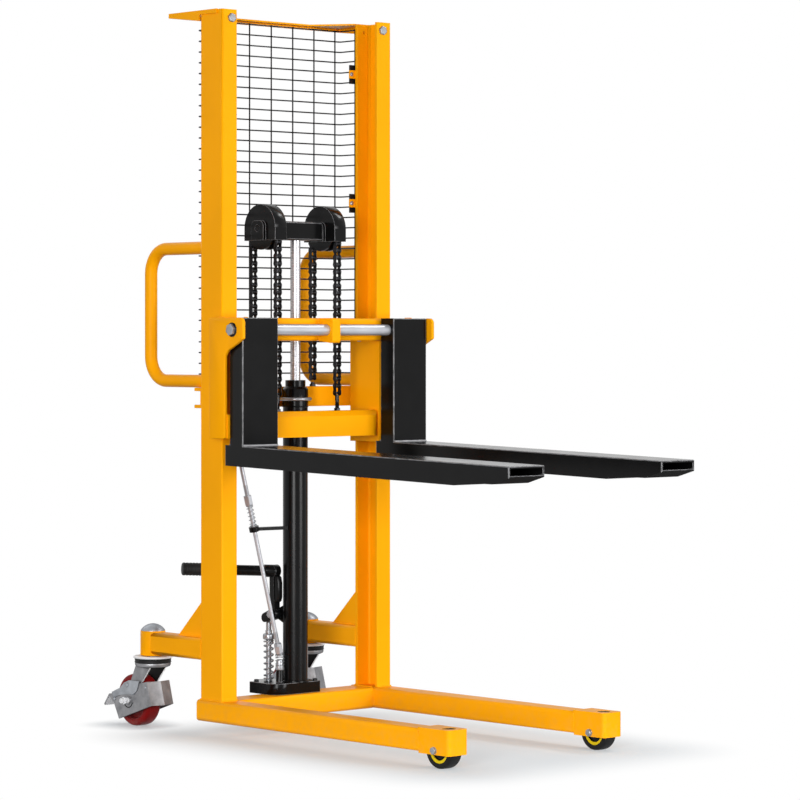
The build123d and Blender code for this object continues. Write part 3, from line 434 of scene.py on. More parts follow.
def lathe(bm, outline, centre, axis, segments, closed=False):
    """A turned body: an outline of (along, radius) pairs carried round an axis."""
    along, normal, side = round_about(axis)
    rings = []
    for distance, radius in outline:
        foot = Vector(centre) + along * distance
        spots = circle(foot, normal, side, radius, segments) if radius else [foot]
        rings.append([bm.verts.new(spot) for spot in spots])
    for first, second in zip(rings, rings[1:]):
        ring_faces(bm, first, second)
    if closed:
        ring_faces(bm, rings[-1], rings[0])


def prism(bm, outline, place, depth, edge=0.0, segments=2):
    """A plate: an outline of (x, y) pairs in a placed plane, pushed along its Z and softly edged."""
    count = len(outline)
    low = [bm.verts.new(place @ Vector((x, y, 0))) for x, y in outline]
    high = [bm.verts.new(place @ Vector((x, y, depth))) for x, y in outline]
    caps = [bm.faces.new(list(reversed(low))), bm.faces.new(high)]
    for step in range(count):
        after = (step + 1) % count
        bm.faces.new([low[step], low[after], high[after], high[step]])
    if edge:
        rim = list({rim_edge for cap in caps for rim_edge in cap.edges})
        bmesh.ops.bevel(bm, geom=rim, offset=edge, segments=segments, affect="EDGES", profile=0.5)


def plane_at(origin, x_axis, y_axis):
    """A placing matrix from an origin and two axes."""
    x_axis = Vector(x_axis).normalized()
    z_axis = x_axis.cross(Vector(y_axis)).normalized()
    y_axis = z_axis.cross(x_axis)
    return Matrix.Translation(Vector(origin)) @ Matrix((x_axis, y_axis, z_axis)).transposed().to_4x4()


def side_plane(x):
    """The upright plane at an X in millimetres, for outlines in Y and Z."""
    return plane_at(at(x, 0, 0), ALONG_Y, UP)


def hex_head(bm, base, axis, across, height):
    """A hexagon head or nut with a chamfered top that stands on a base point."""
    corner = across / math.sqrt(3)
    chamfer_height, top_radius = height * 0.8, across * 0.47
    outline = [(0, 0), (0, corner), (chamfer_height, corner), (height, top_radius), (height, 0)]
    lathe(bm, outline, base, axis, segments=6)


def washer(bm, base, axis, radius, thickness):
    """A flat washer with broken edges."""
    broken = thickness * 0.25
    outline = [(0, 0), (0, radius - broken), (broken, radius), (thickness - broken, radius),
               (thickness, radius - broken), (thickness, 0)]
    lathe(bm, outline, base, axis, segments=32)


SEATED_HEADS = {
    "stop_nut": dict(washer_radius=0.0105, thickness=0.0016, across=0.017, height=0.0065),
    "load_axle_head": dict(washer_radius=0.0086, thickness=0.0012, across=0.0145, height=0.0048),
    "load_axle_nut": dict(washer_radius=0.0086, thickness=0.0012, across=0.0145, height=0.005),
    "anchor_nut": dict(washer_radius=0.0075, thickness=0.001, across=0.0138, height=0.005),
    "caster_axle_head": dict(washer_radius=0.0105, thickness=0.0016, across=0.017, height=0.0055),
    "pump_pivot_head": dict(washer_radius=0.0105, thickness=0.0012, across=0.015, height=0.006),
    "release_pivot_head": dict(washer_radius=0.0075, thickness=0.001, across=0.011, height=0.004),
    "filler_plug": dict(washer_radius=0.011, thickness=0.0016, across=0.017, height=0.007),
}


def seated_head(bm, kind, base, axis):
    """A hexagon head or nut on its washer."""
    values = SEATED_HEADS[kind]
    washer(bm, base, axis, values["washer_radius"], values["thickness"])
    hex_head(bm, base + Vector(axis) * values["thickness"], axis, values["across"], values["height"])


def thread(bm, start, axis, length, radius):
    """A threaded end with a broken tip."""
    pitch = 0.0016
    root_radius, tip_radius = radius * 0.87, radius * 0.84
    outline = [(0, 0)]
    for turn in range(int(length / pitch)):
        outline += [(turn * pitch, root_radius), ((turn + 0.5) * pitch, radius)]
    outline += [(length, tip_radius), (length, 0)]
    lathe(bm, outline, start, axis, segments=20)


def ring_route(centre, axis, radius, steps):
    """Points of a circle about an axis, the first one repeated at the end."""
    _, normal, side = round_about(axis)
    points = circle(centre, normal, side, radius, steps)
    return points + points[:1]


def weld_bead(bm, route, radius):
    """Overlapping weld scales along a route."""
    point_gap, points_per_scale = 0.0016, 3
    thin, swell = 0.78, 0.22
    points = []
    for start, end in zip(route, route[1:]):
        count = max(1, round((end - start).length / point_gap))
        points += [start.lerp(end, step / count) for step in range(count)]
    points.append(route[-1])
    turns = [math.pi * index / points_per_scale for index in range(len(points))]
    tube(bm, points, [radius * (thin + swell * abs(math.cos(turn))) for turn in turns], sides=6)


def rounded_route(corners, radius, steps=6):
    """Points along straight runs joined by round bends."""
    corners = [Vector(corner) for corner in corners]
    route = [corners[0]]
    for before, corner, after in zip(corners, corners[1:], corners[2:]):
        inward = (before - corner).normalized()
        outward = (after - corner).normalized()
        half = inward.angle(outward) / 2
        middle = (inward + outward).normalized()
        centre = corner + middle * (radius / math.sin(half))
        first = corner + inward * (radius / math.tan(half)) - centre
        last = corner + outward * (radius / math.tan(half)) - centre
        for step in range(steps + 1):
            route.append(centre + first.lerp(last, step / steps).normalized() * radius)
    return route + [corners[-1]]


def new_piece(name, bm, finish_name, sharp=35):
    """An object from built geometry, smooth but for its sharp edges, with a finish and a material slot."""
    bmesh.ops.recalc_face_normals(bm, faces=bm.faces)
    mesh = bpy.data.meshes.new(name)
    bm.to_mesh(mesh)
    bm.free()
    mesh.shade_smooth()
    mesh.set_sharp_from_angle(angle=math.radians(sharp))
    mesh.materials.append(finish(finish_name))
    piece = bpy.data.objects.new(name, mesh)
    bpy.context.scene.collection.objects.link(piece)
    return piece


def fit(body, name, bm, finish_name, slot, *nodes, sharp=35):
    """A piece that rides a body, and that stands for nodes of the frame where any are named."""
    piece = new_piece(name, bm, finish_name, sharp)
    if nodes:
        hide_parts(*nodes)
    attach(piece, body)


def both(*names):
    """The left and the right node of each name."""
    return [side + "_" + name for name in names for side in SIDES]


# Finishes and edges of the frame's own pieces
FORKS = both("fork")
BRAKES = both("caster_brake")
YELLOW_PLATES = [*both("mast_post"), "top_plate", "mid_crossbar", "base_crossbar", "legs", "leg_tip_brackets",
                 "rear_arms", "caster_sockets", "end_plates", "roller_plates", "upper_crossbar",
                 "lower_crossbars", "rod_bracket"]
BLACK_PLATES = ["pump_block", "pivot_brackets", "crosshead_beam", "pulley_covers", *FORKS, "pump_lever",
                "release_lever"]
NODE_FINISHES = {
    "frame_paint": [*YELLOW_PLATES, "push_handles"],
    "satin_black": [*BLACK_PLATES, "cylinder_tube", "release_guide", *both("chain_pulley"), "pulley_axles"],
    "black_rubber": ["guard_clips"],
    "bright_rod": ["fork_rod", "release_rod"],
    "piston_chrome": ["piston_rod"],
    "zinc_plate": ["cylinder_clamp", "roller_axles", "caster_caps"],
    "pressed_steel": BRAKES,
}
LONG_EDGED = [*both("mast_post"), "mid_crossbar", "rear_arms", "leg_tip_brackets", "crosshead_beam", *FORKS,
              *BRAKES]
WIDE_EDGED = {"left_fork": 2.0, "right_fork": 2.0, "pulley_covers": 1.5, "end_plates": 1.5,
              "rod_bracket": 1.5}
EDGE_ANGLE = math.radians(40)
FLAT_ANGLE = math.radians(0.4)
JOIN_DISTANCE = 0.00002
DETAIL_LENGTH = 0.003
FACING_DOWN = -0.05
FACING_ANY_WAY = -2
CLIP_TAB = 0.0035


def mark_long_edges(mesh, lowest):
    """Bevel weights on the sharp edges that end clear of small details and face no lower than allowed."""
    spots = [tuple(round(value, 5) for value in vertex.co) for vertex in mesh.vertices]
    sides = {}
    for face in mesh.polygons:
        for first, second in face.edge_keys:
            sides.setdefault(frozenset((spots[first], spots[second])), []).append(face.normal.copy())
    shortest = {}
    for spot, other in (key for key in sides if len(key) == 2):
        length = math.dist(spot, other)
        shortest[spot] = min(shortest.get(spot, 1), length)
        shortest[other] = min(shortest.get(other, 1), length)
    weights = mesh.attributes.new("bevel_weight_edge", "FLOAT", "EDGE")
    for edge in mesh.edges:
        key = frozenset(spots[index] for index in edge.vertices)
        normals = sides.get(key, [])
        if len(key) == 2 and len(normals) == 2 and normals[0].angle(normals[1], 0) > EDGE_ANGLE:
            upward = all(normal.z > lowest for normal in normals)
            if upward and all(shortest[spot] > DETAIL_LENGTH for spot in key):
                weights.data[edge.index].value = 1.0


def add_finish(mesh, finish_name, chosen):
    """One more finish on a mesh, for the faces that a test chooses."""
    mesh.materials.append(finish(finish_name))
    for face in mesh.polygons:
        if chosen(face):
            face.material_index = len(mesh.materials) - 1


class STACKER_OT_frame(bpy.types.Operator):
    """Paint and plate the frame's own pieces and round their edges"""

    bl_idname = "stacker.frame"
    bl_label = "Finish Frame"

    def round_edges(self, node):
        """Joined faces and rounded edges, with a lighter grey painted on the edges where the paint is black
        as a highlight.
        """
        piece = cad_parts[node]
        piece.modifiers.new("joined", "WELD").merge_threshold = JOIN_DISTANCE
        flat = piece.modifiers.new("flat_faces", "DECIMATE")
        flat.decimate_type = "DISSOLVE"
        flat.angle_limit = FLAT_ANGLE
        flat.delimit = {"MATERIAL"}
        edge = piece.modifiers.new("edge", "BEVEL")
        edge.limit_method = "ANGLE"
        edge.angle_limit = EDGE_ANGLE
        if node in LONG_EDGED:
            edge.limit_method = "WEIGHT"
            mark_long_edges(piece.data, FACING_DOWN if node in FORKS else FACING_ANY_WAY)
        edge.width = sizes().edge_round * WIDE_EDGED.get(node, 1)
        edge.segments = 2
        edge.use_clamp_overlap = True
        edge.harden_normals = True
        # Black pieces take a lighter grey on their rounded edges: a painted highlight.
        if node in BLACK_PLATES:
            piece.data.materials.append(finish("rubbed_edge"))
            edge.material = 1

    def execute(self, context):
        for finish_name, nodes in NODE_FINISHES.items():
            for node in nodes:
                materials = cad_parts[node].data.materials
                materials.clear()
                materials.append(finish(finish_name))
        for node in YELLOW_PLATES + BLACK_PLATES + BRAKES:
            self.round_edges(node)
        for node in FORKS:
            add_finish(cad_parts[node].data, "shaded_black", lambda face: face.normal.z < FACING_DOWN)
        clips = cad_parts["guard_clips"]
        tab_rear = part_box("guard_clips")[0][1] + CLIP_TAB
        add_finish(clips.data, "frame_paint", lambda face: (clips.matrix_world @ face.center).y < tab_rear)
        return {"FINISHED"}


class STACKER_OT_guard(bpy.types.Operator):
    """Weave the wire guard behind the mast"""

    bl_idname = "stacker.guard"
    bl_label = "Wire Guard"

    def execute(self, context):
        radius, column_gap = sizes().wire_radius, sizes().guard_column
        crossing, bend, wire_sides = 1.7 * radius, 0.007, 8
        front_y, middle_y = mast_rear + radius, guard_high[1] - radius
        return_x = guard_high[0] - radius
        bottom, top = guard_low[2] + radius, guard_high[2] - radius
        pitch = (top - bottom) / (sizes().guard_rows - 1)
        bm = bmesh.new()
        for row in range(sizes().guard_rows):
            height = bottom + row * pitch
            corners = [(-return_x, front_y, height), (-return_x, middle_y, height),
                       (return_x, middle_y, height), (return_x, front_y, height)]
            tube(bm, rounded_route(corners, bend), radius, wire_sides)
        columns = math.floor(guard_high[0] / column_gap)
        uprights = [(column * column_gap, middle_y - crossing) for column in range(-columns, columns + 1)]
        uprights += [(sign * (return_x - crossing), front_y) for sign in SIDES.values()]
        for x, y in uprights:
            tube(bm, [(x, y, bottom - radius), (x, y, top + radius)], radius, wire_sides)
        fit("mast", "guard_wires", bm, "satin_black", "black_paint", "guard_mesh")
        return {"FINISHED"}


# Chain sizes in metres
PLATE_THICKNESS, PLATE_EDGE = 0.0016, 0.0003
OUTER_LINK = dict(inner_face=0.0066, radius=0.0070, waist=0.0042)
INNER_LINK = dict(inner_face=0.0049, radius=0.0073, waist=0.0034)
PIN_OUTLINE = metres([(-9.1, 0), (-9.1, 1.8), (-8.6, 2.5), (8.6, 2.5), (9.1, 1.8), (9.1, 0)])
BUSH_OUTLINE = metres([(-4.7, 3), (-4.7, 4.6), (-4.2, 5.1), (4.2, 5.1), (4.7, 4.6), (4.7, 3)])
CHAIN_END_GAP = 0.004


def link_plate(pitch, radius, waist, steps=6):
    """Outline of a chain plate: round at both pins and drawn in between them."""
    start = [math.radians(60 + 240 * step / steps) for step in range(steps + 1)]
    end = [math.radians(-120 + 240 * step / steps) for step in range(steps + 1)]
    outline = [(radius * math.cos(turn), radius * math.sin(turn)) for turn in start]
    outline.append((pitch / 2, -waist))
    outline += [(pitch + radius * math.cos(turn), radius * math.sin(turn)) for turn in end]
    return outline + [(pitch / 2, waist)]


def chain_link(bm, start, end, outer):
    """One link between two pins: a pair of plates, with pins on an outer link and bushes on an inner one."""
    along = (end - start).normalized()
    across = Vector(ALONG_X).cross(along)
    link = OUTER_LINK if outer else INNER_LINK
    outline = link_plate((end - start).length, link["radius"], link["waist"])
    for offset in (-link["inner_face"] - PLATE_THICKNESS, link["inner_face"]):
        place = plane_at(start + Vector((offset, 0, 0)), along, across)
        prism(bm, outline, place, PLATE_THICKNESS, PLATE_EDGE, segments=1)
    for pin in (start, end):
        if outer:
            lathe(bm, PIN_OUTLINE, pin, ALONG_X, segments=10)
        else:
            lathe(bm, BUSH_OUTLINE, pin, ALONG_X, segments=14, closed=True)


class STACKER_OT_chains(bpy.types.Operator):
    """Link the two lifting chains over their pulleys"""

    bl_idname = "stacker.chains"
    bl_label = "Lifting Chains"

    def pin(self, x, distance):
        """A point of the chain's centre line at a distance from its front end."""
        if distance < front_run:
            return Vector((x, chain_front_y, front_run_low[2] + distance))
        turn = (distance - front_run) / wrap_radius
        if turn < math.pi:
            return Vector((x, pulley_y - wrap_radius * math.cos(turn),
                           pulley_z + wrap_radius * math.sin(turn)))
        return Vector((x, chain_rear_y, pulley_z - (turn - math.pi) * wrap_radius))

    def execute(self, context):
        pitch = sizes().chain_pitch
        wrap_end = front_run + math.pi * wrap_radius
        whole = wrap_end + pulley_z - rear_run_low[2]
        meshes = {"front": bmesh.new(), "wrap": bmesh.new(), "rear": bmesh.new()}
        for index in range(int((whole - CHAIN_END_GAP) / pitch)):
            near = CHAIN_END_GAP + index * pitch
            far = near + pitch
            part = "front" if far < front_run else "rear" if near > wrap_end else "wrap"
            for sign in SIDES.values():
                x = sign * pulley_x
                chain_link(meshes[part], self.pin(x, near), self.pin(x, far), index % 2 == 0)
        front_piece = new_piece("front_chains", meshes["front"], "oiled_steel")
        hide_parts("front_chain_runs")
        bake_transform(front_piece)
        rear_piece = new_piece("rear_chains", meshes["rear"], "oiled_steel")
        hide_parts("rear_chain_runs")
        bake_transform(rear_piece)
        fit("crosshead", "chains_on_pulleys", meshes["wrap"], "oiled_steel", "chain_steel", "chain_wraps")
        return {"FINISHED"}


class STACKER_OT_springs(bpy.types.Operator):
    """Wind the return springs of the pump and the release valve and the release rod's spring"""

    bl_idname = "stacker.springs"
    bl_label = "Springs"

    def wind(self, name, low, high, coil_radius, wire_radius, turns):
        """A spring with closed ends between two end points."""
        steps_per_turn = 20
        along = (high - low).normalized()
        normal = Vector(ALONG_Y).cross(along).normalized()
        side = along.cross(normal)
        length = (high - low).length - 2 * wire_radius
        closed = 2 * wire_radius / length
        points = []
        for step in range((turns + 2) * steps_per_turn + 1):
            turn = step / steps_per_turn
            if turn < 1:
                share = closed * turn
            elif turn > turns + 1:
                share = 1 - closed * (turns + 2 - turn)
            else:
                share = closed + (1 - 2 * closed) * (turn - 1) / turns
            angle = 2 * math.pi * turn
            points.append(low + along * (wire_radius + length * share)
                          + coil_radius * (math.cos(angle) * normal + math.sin(angle) * side))
        bm = bmesh.new()
        tube(bm, points, wire_radius, sides=10)
        return new_piece(name, bm, "zinc_plate")

    def execute(self, context):
        middle = (spring_low + spring_high) / 2
        low = Vector((middle[0], middle[1], spring_low[2]))
        high = Vector((middle[0], middle[1], spring_high[2]))
        pump_spring = self.wind("pump_return_spring", low, high, coil_radius=0.0106, wire_radius=0.002,
                                turns=6)
        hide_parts("pump_spring")
        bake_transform(pump_spring)
        low, high = on_rod(486.4), on_rod(537.4)
        rod_spring = self.wind("release_rod_spring", low, high, coil_radius=0.0075, wire_radius=0.001,
                               turns=5)
        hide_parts("rod_spring")
        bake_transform(rod_spring)
        low, high = at(VALVE_X, VALVE_Y, 151.3), at(VALVE_X, VALVE_Y, 178.2)
        valve_spring = self.wind("valve_spring", low, high, coil_radius=0.0099, wire_radius=0.0009, turns=3)
        for vertex in valve_spring.data.vertices:
            share = (vertex.co.z - low.z) / (high.z - low.z)
            vertex.co.z += share * ROD_SLOPE * (vertex.co.x - low.x)
        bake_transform(valve_spring)
        return {"FINISHED"}


class STACKER_OT_fasteners(bpy.types.Operator):
    """Set the bolts, nuts and washers of the mast, carriage and legs"""

    bl_idname = "stacker.fasteners"
    bl_label = "Fasteners"

    def stop_bolts(self):
        """Travel stops at the top of the posts, and the screws of the guard's clips."""
        bm = bmesh.new()
        for sign in SIDES.values():
            x, z = sign * 237, 1680
            hex_head(bm, at(x, 0, z), FORWARD, across=0.019, height=0.007)
            seated_head(bm, "stop_nut", at(x, 8, z), ALONG_Y)
            thread(bm, at(x, 12, z), ALONG_Y, length=0.008, radius=0.005)
        fit("mast", "stop_bolt_set", bm, "zinc_plate", "zinc_steel", "stop_bolts")
        bm = bmesh.new()
        for sign in SIDES.values():
            for z in (1262, 1577):
                hex_head(bm, at(sign * 208, 80, z), FORWARD, across=0.009, height=0.0025)
        fit("mast", "clip_bolts", bm, "zinc_plate", "zinc_steel")

    def rod_bolts(self):
        """Bolts that hold the fork rod in the end plates, and their washers in dark steel, which paint the
        shadow round the heads.
        """
        heads, washers = bmesh.new(), bmesh.new()
        for sign in SIDES.values():
            outward = (sign, 0, 0)
            head_base = at(sign * 302.4, FORK_ROD_Y, FORK_ROD_Z)
            washer_base = at(sign * 300, FORK_ROD_Y, FORK_ROD_Z)
            hex_head(heads, head_base, outward, across=0.024, height=0.0076)
            washer(washers, washer_base, outward, radius=0.0165, thickness=0.0024)
        fit("carriage", "rod_bolt_set", heads, "zinc_plate", "zinc_steel", "rod_bolts")
        # The washers are dark steel: a painted shadow round the bolt heads.
        fit("carriage", "rod_bolt_washers", washers, "black_steel", "zinc_steel")

    def load_axles(self):
        """Axle bolts of the load wheels, and the plugs in the leg tips above them."""
        plug = metres([(84.6, 0), (84.6, 15.8), (86.4, 15.8), (87.2, 14.8), (86.2, 12.5), (86.2, 0)])
        bolts, plugs = bmesh.new(), bmesh.new()
        for sign in SIDES.values():
            tube(bolts, [load_axle(sign * 211), load_axle(sign * 269)], radius=0.005, sides=24)
            seated_head(bolts, "load_axle_head", load_axle(sign * 270), (sign, 0, 0))
            seated_head(bolts, "load_axle_nut", load_axle(sign * 210), (-sign, 0, 0))
            thread(bolts, load_axle(sign * 204), (-sign, 0, 0), length=0.002, radius=0.005)
            lathe(plugs, plug, at(sign * LOAD_WHEEL_X, -745, 0), UP, segments=40)
        fit("mast", "load_axle_bolts", bolts, "zinc_plate", "zinc_steel", "load_wheel_axles")
        fit("mast", "leg_tip_plugs", plugs, "black_rubber", "rubber_block")

    def chain_anchors(self, name, node, body, y, low, flange_low, flange_high, high):
        """Threaded rods with locked nuts at the ends of the chains."""
        eye_length = 18
        bm = bmesh.new()
        for sign in SIDES.values():
            x = sign * pulley_x * 1000
            thread(bm, at(x, y, low), UP, (high - low - eye_length) / 1000, radius=0.005)
            tube(bm, [at(x, y, high - eye_length), at(x, y, high)], radius=0.0048, sides=20)
            seated_head(bm, "anchor_nut", at(x, y, flange_high), UP)
            hex_head(bm, at(x, y, flange_low), DOWN, across=0.0138, height=0.006)
        fit(body, name, bm, "black_steel", "zinc_steel", node)

    def execute(self, context):
        self.stop_bolts()
        self.rod_bolts()
        self.load_axles()
        self.chain_anchors("carriage_anchor_rods", "carriage_chain_anchors", "carriage", y=2.5, low=737,
                           flange_low=751, flange_high=759, high=797)
        self.chain_anchors("fixed_anchor_rods", "fixed_chain_anchors", "mast", y=92.5, low=792,
                           flange_low=808, flange_high=816, high=826)
        return {"FINISHED"}


# Right halves of the wheels' outlines: millimetres along the axle and from it
LOAD_TYRE = [(17, 29.4), (17, 36.5), (16.2, 39), (13.5, 40.5), (8, 41)]
LOAD_RIM = [(14.5, 22.5), (15.6, 23.4), (15.6, 28.8), (14.8, 29.5)]
LOAD_HUB = [(16.6, 5.1), (16.6, 10.5), (16, 11.5), (12, 12.5), (11, 21.5), (13.6, 22.6)]
CASTER_TREAD = [(20, 47.9), (20, 55.5), (19.2, 58.6), (16.6, 61.2), (12, 62.2), (6, 62.5)]
CASTER_CORE = [(21, 6.1), (21, 13), (20, 14.5), (9, 17), (7.5, 20), (7.5, 40), (9, 42.5), (17.5, 45),
               (18.6, 48)]
ROLLER = [(14, 10.1), (14, 14.5), (13.2, 15), (12.8, 23), (13.2, 23.5), (14, 24), (14, 29), (12, 31)]
ROLLER_HEIGHTS = {"upper": 938, "lower": 724}


class STACKER_OT_wheels(bpy.types.Operator):
    """Turn the load wheels, the caster wheels and the carriage rollers"""

    bl_idname = "stacker.wheels"
    bl_label = "Wheels and Rollers"

    def turned(self, name, half, centre, finish_name, slot, node):
        """A ring about an axle along X, from half of its outline, on the body of the node it stands for."""
        outline = [(-along, radius) for along, radius in half] + half[::-1]
        bm = bmesh.new()
        lathe(bm, metres(outline), centre, ALONG_X, segments=72, closed=True)
        fit(node + "_body", name, bm, finish_name, slot, node)

    def execute(self, context):
        for side, sign in SIDES.items():
            centre, node = load_axle(sign * LOAD_WHEEL_X), side + "_load_wheel"
            self.turned(side + "_load_tyre", LOAD_TYRE, centre, "black_rubber", "load_wheel", node)
            self.turned(side + "_load_rim", LOAD_RIM, centre, "rim_paint", "load_wheel", node)
            self.turned(side + "_load_hub", LOAD_HUB, centre, "satin_black", "load_wheel", node)
            centre, node = caster_axle(sign * CASTER_X), side + "_caster_wheel"
            self.turned(side + "_caster_tread", CASTER_TREAD, centre, "red_tread", "red_wheel", node)
            self.turned(side + "_caster_core", CASTER_CORE, centre, "red_core", "red_wheel", node)
            for level, height in ROLLER_HEIGHTS.items():
                centre, node = at(sign * 236, 40, height), side + "_" + level + "_roller"
                self.turned(node + "_bearing", ROLLER, centre, "zinc_plate", "roller_steel", node)
        return {"FINISHED"}


# Outlines of a caster in millimetres: height or distance along the axle, and radius
HEAD_PLATE = [(166, 0), (166, 44.5), (167.5, 46.6), (169.5, 47), (171, 46), (172, 43.5), (172, 33), (171, 31),
              (171, 0)]
CROWN = [(146, 0), (146, 37), (147, 40.5), (150, 42.6), (154, 43), (156, 42), (156, 0)]
# The black disc below lies under the caster's crown: painted shade.
CROWN_PAINTED_SHADE = [(145.5, 0), (145.5, 37), (146.1, 37)]
SWIVEL_SEAL = [(155.5, 40), (155.5, 43.2), (157, 44.2), (158.5, 43.4), (163, 43.4), (164.5, 44.2),
               (166.5, 43.6), (166.5, 40)]
AXLE_SLEEVE = [(35.6, 0), (35.6, 7.4), (43, 7.4), (43.6, 6.2), (45.4, 6.2), (46, 8.8), (48.4, 8.8), (49, 6.2),
               (56, 6.2), (56.8, 5.4), (56.8, 0)]
LEVER_DOME = [(36.4, 0), (36.4, 6.5), (38, 6.2), (39.6, 4), (40, 0)]

# Outline of the brake's lever plate and the rivets' places and radii, in millimetres along Y and Z
BRAKE_LEVER = [(297, 112), (306, 89), (319, 77), (342, 77), (372, 74), (398, 64), (404, 78), (371, 90),
               (356, 104), (337, 111)]
BRAKE_RIVETS = [(312, 96, 5), (396, 62, 4), (275, 98, 3.5)]

# Which faces of the casters take the near-white painted highlight: their normal's Y, and heights in metres
FACING_FRONT = -0.6
HEAD_PLATE_FOOT = 0.1655
ARM_LOW, ARM_HIGH = 0.09, 0.1455


class STACKER_OT_casters(bpy.types.Operator):
    """Press the caster yokes and finish their brakes"""

    bl_idname = "stacker.casters"
    bl_label = "Casters"

    def arm_outline(self):
        """Side plate of the yoke in Y and Z, round at the axle."""
        foot_radius = 13
        foot = [math.radians(-22 - 136 * step / 8) for step in range(9)]
        outline = [(264, 149), (323, 149), (349, 96)]
        outline += [(CASTER_AXLE_Y + foot_radius * math.cos(turn),
                     CASTER_AXLE_Z + foot_radius * math.sin(turn)) for turn in foot]
        return metres(outline + [(312, 96)])

    def yoke(self, side, x):
        """Head plate, crown, two side plates and the axle with its washers, head and sleeve."""
        swivel = at(x, SWIVEL_Y, 0)
        bm = bmesh.new()
        lathe(bm, metres(HEAD_PLATE), swivel, UP, segments=64)
        lathe(bm, metres(CROWN), swivel, UP, segments=64)
        tube(bm, [at(x, SWIVEL_Y, 170), at(x, SWIVEL_Y, 228)], radius=0.0149, sides=32)
        for inner in (x - 26, x + 22):
            prism(bm, self.arm_outline(), side_plane(inner), depth=0.004, edge=0.0009)
        washer(bm, caster_axle(x - 34.2), (-1, 0, 0), radius=0.0105, thickness=0.0016)
        seated_head(bm, "caster_axle_head", caster_axle(x + 34.2), ALONG_X)
        tube(bm, [caster_axle(x - 34.5), caster_axle(x + 34.5)], radius=0.006, sides=24)
        piece = new_piece(side + "_yoke", bm, "pressed_steel")
        # The head plate and the side plates' front edges take the near-white finish: a painted highlight.
        add_finish(piece.data, "bright_plate", self.bright)
        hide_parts(side + "_caster_yoke")
        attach(piece, side + "_caster")
        bm = bmesh.new()
        lathe(bm, metres(AXLE_SLEEVE), caster_axle(x), (-1, 0, 0), segments=32)
        fit(side + "_caster", side + "_axle_sleeve", bm, "bright_plate", "zinc_steel")

    def bright(self, face):
        """Whether a face of the yoke takes the painted highlight: on its head plate or on the front edges of
        its side plates.
        """
        front = face.normal.y < FACING_FRONT and abs(face.normal.x) < 0.3
        return face.center.z > HEAD_PLATE_FOOT or front and ARM_LOW < face.center.z < ARM_HIGH

    def liner(self, side, x):
        """Black sheets on the inner faces of the yoke and a black disc under its crown: painted shade."""
        bm = bmesh.new()
        for inner in (x - 22, x + 21.5):
            prism(bm, self.arm_outline(), side_plane(inner), depth=0.0005)
        lathe(bm, metres(CROWN_PAINTED_SHADE), at(x, SWIVEL_Y, 0), UP, segments=48)
        fit(side + "_caster", side + "_yoke_liner", bm, "black_rubber", "rubber_block")

    def seal(self, side, x):
        """Black seal between the head plate and the crown."""
        bm = bmesh.new()
        lathe(bm, metres(SWIVEL_SEAL), at(x, SWIVEL_Y, 0), UP, segments=64, closed=True)
        fit(side + "_caster", side + "_swivel_seal", bm, "black_rubber", "rubber_block")

    def brake(self, side, x):
        """A painted highlight in near-white on the brake's front faces; its rivets and pedal ribs, its lever
        plate and its slot's lip.
        """
        # Front-facing faces of the brake take the near-white finish: a painted highlight.
        add_finish(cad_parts[side + "_caster_brake"].data, "bright_plate",
                   lambda face: face.normal.y < FACING_FRONT and abs(face.normal.x) < 0.2)
        body = side + "_caster_brake_body"
        bm = bmesh.new()
        for way in (-1, 1):
            for y, z, radius in BRAKE_RIVETS:
                dome = [(0, 0), (0, radius), (1.2, radius * 0.95), (2.4, radius * 0.6), (2.8, 0)]
                lathe(bm, metres(dome), at(x + way * 34, y, z), (way, 0, 0), segments=20)
        for rib in range(4):
            y, z = 421 + 4.4 * rib, 70.2 - 5.95 * rib
            tube(bm, [at(x - 30, y, z), at(x + 30, y, z)], radius=0.0013, sides=8)
        fit(body, side + "_brake_rivets", bm, "zinc_plate", "zinc_steel")
        bm = bmesh.new()
        prism(bm, metres(BRAKE_LEVER), side_plane(x - 36.6), depth=0.0026, edge=0.0007)
        lathe(bm, metres(LEVER_DOME), at(x, 345, 100), (-1, 0, 0), segments=24)
        fit(body, side + "_brake_lever", bm, "zinc_plate", "zinc_steel")
        bm = bmesh.new()
        slot_radius = 17
        arc = [math.radians(195 + 150 * step / 20) for step in range(21)]
        tube(bm, [at(x - 34.1, CASTER_AXLE_Y - slot_radius * math.cos(turn),
                     CASTER_AXLE_Z + slot_radius * math.sin(turn)) for turn in arc], radius=0.0012, sides=8)
        fit(body, side + "_brake_slot_lip", bm, "black_rubber", "rubber_block")

    def execute(self, context):
        for side, sign in SIDES.items():
            x = sign * CASTER_X
            self.yoke(side, x)
            self.liner(side, x)
            self.seal(side, x)
            self.brake(side, x)
        return {"FINISHED"}


# Outlines of the pump and its valve in millimetres: height or distance along the axis, and radius
PLUNGER = [(104, 0), (104, 6.4), (209, 6.4), (210, 11.5), (211.6, 13.6), (214, 14), (220, 14), (222.6, 13.2),
           (224, 11), (224, 8), (232, 8), (233, 6.4), (250, 6.4), (251.6, 5), (251.6, 0)]
SLEEVE_START = [(0, 0), (0, 14.2), (1.2, 15.3)]
SLEEVE_RIB = [(4, 15.3), (5.2, 14.7), (7, 14.7), (8, 15.3)]
SLEEVE_END = [(60, 15.3), (62, 13.5), (62.6, 10), (62.6, 0)]
VALVE_CAP = [(141, 8.9), (141, 10.2), (142, 10.8), (146, 10.8), (147, 10), (151, 10), (152, 9), (160, 8.4),
             (165, 7.6), (166, 6.6), (166, 3.9), (150.2, 3.9), (150.2, 8.9)]
ROD_COLLAR = [(-3, 0), (-3, 6.2), (-1.5, 7.2), (0.6, 7.2), (0.6, 10.2), (2.4, 10.2), (3, 7.2), (4, 7.2),
              (4.5, 5)]
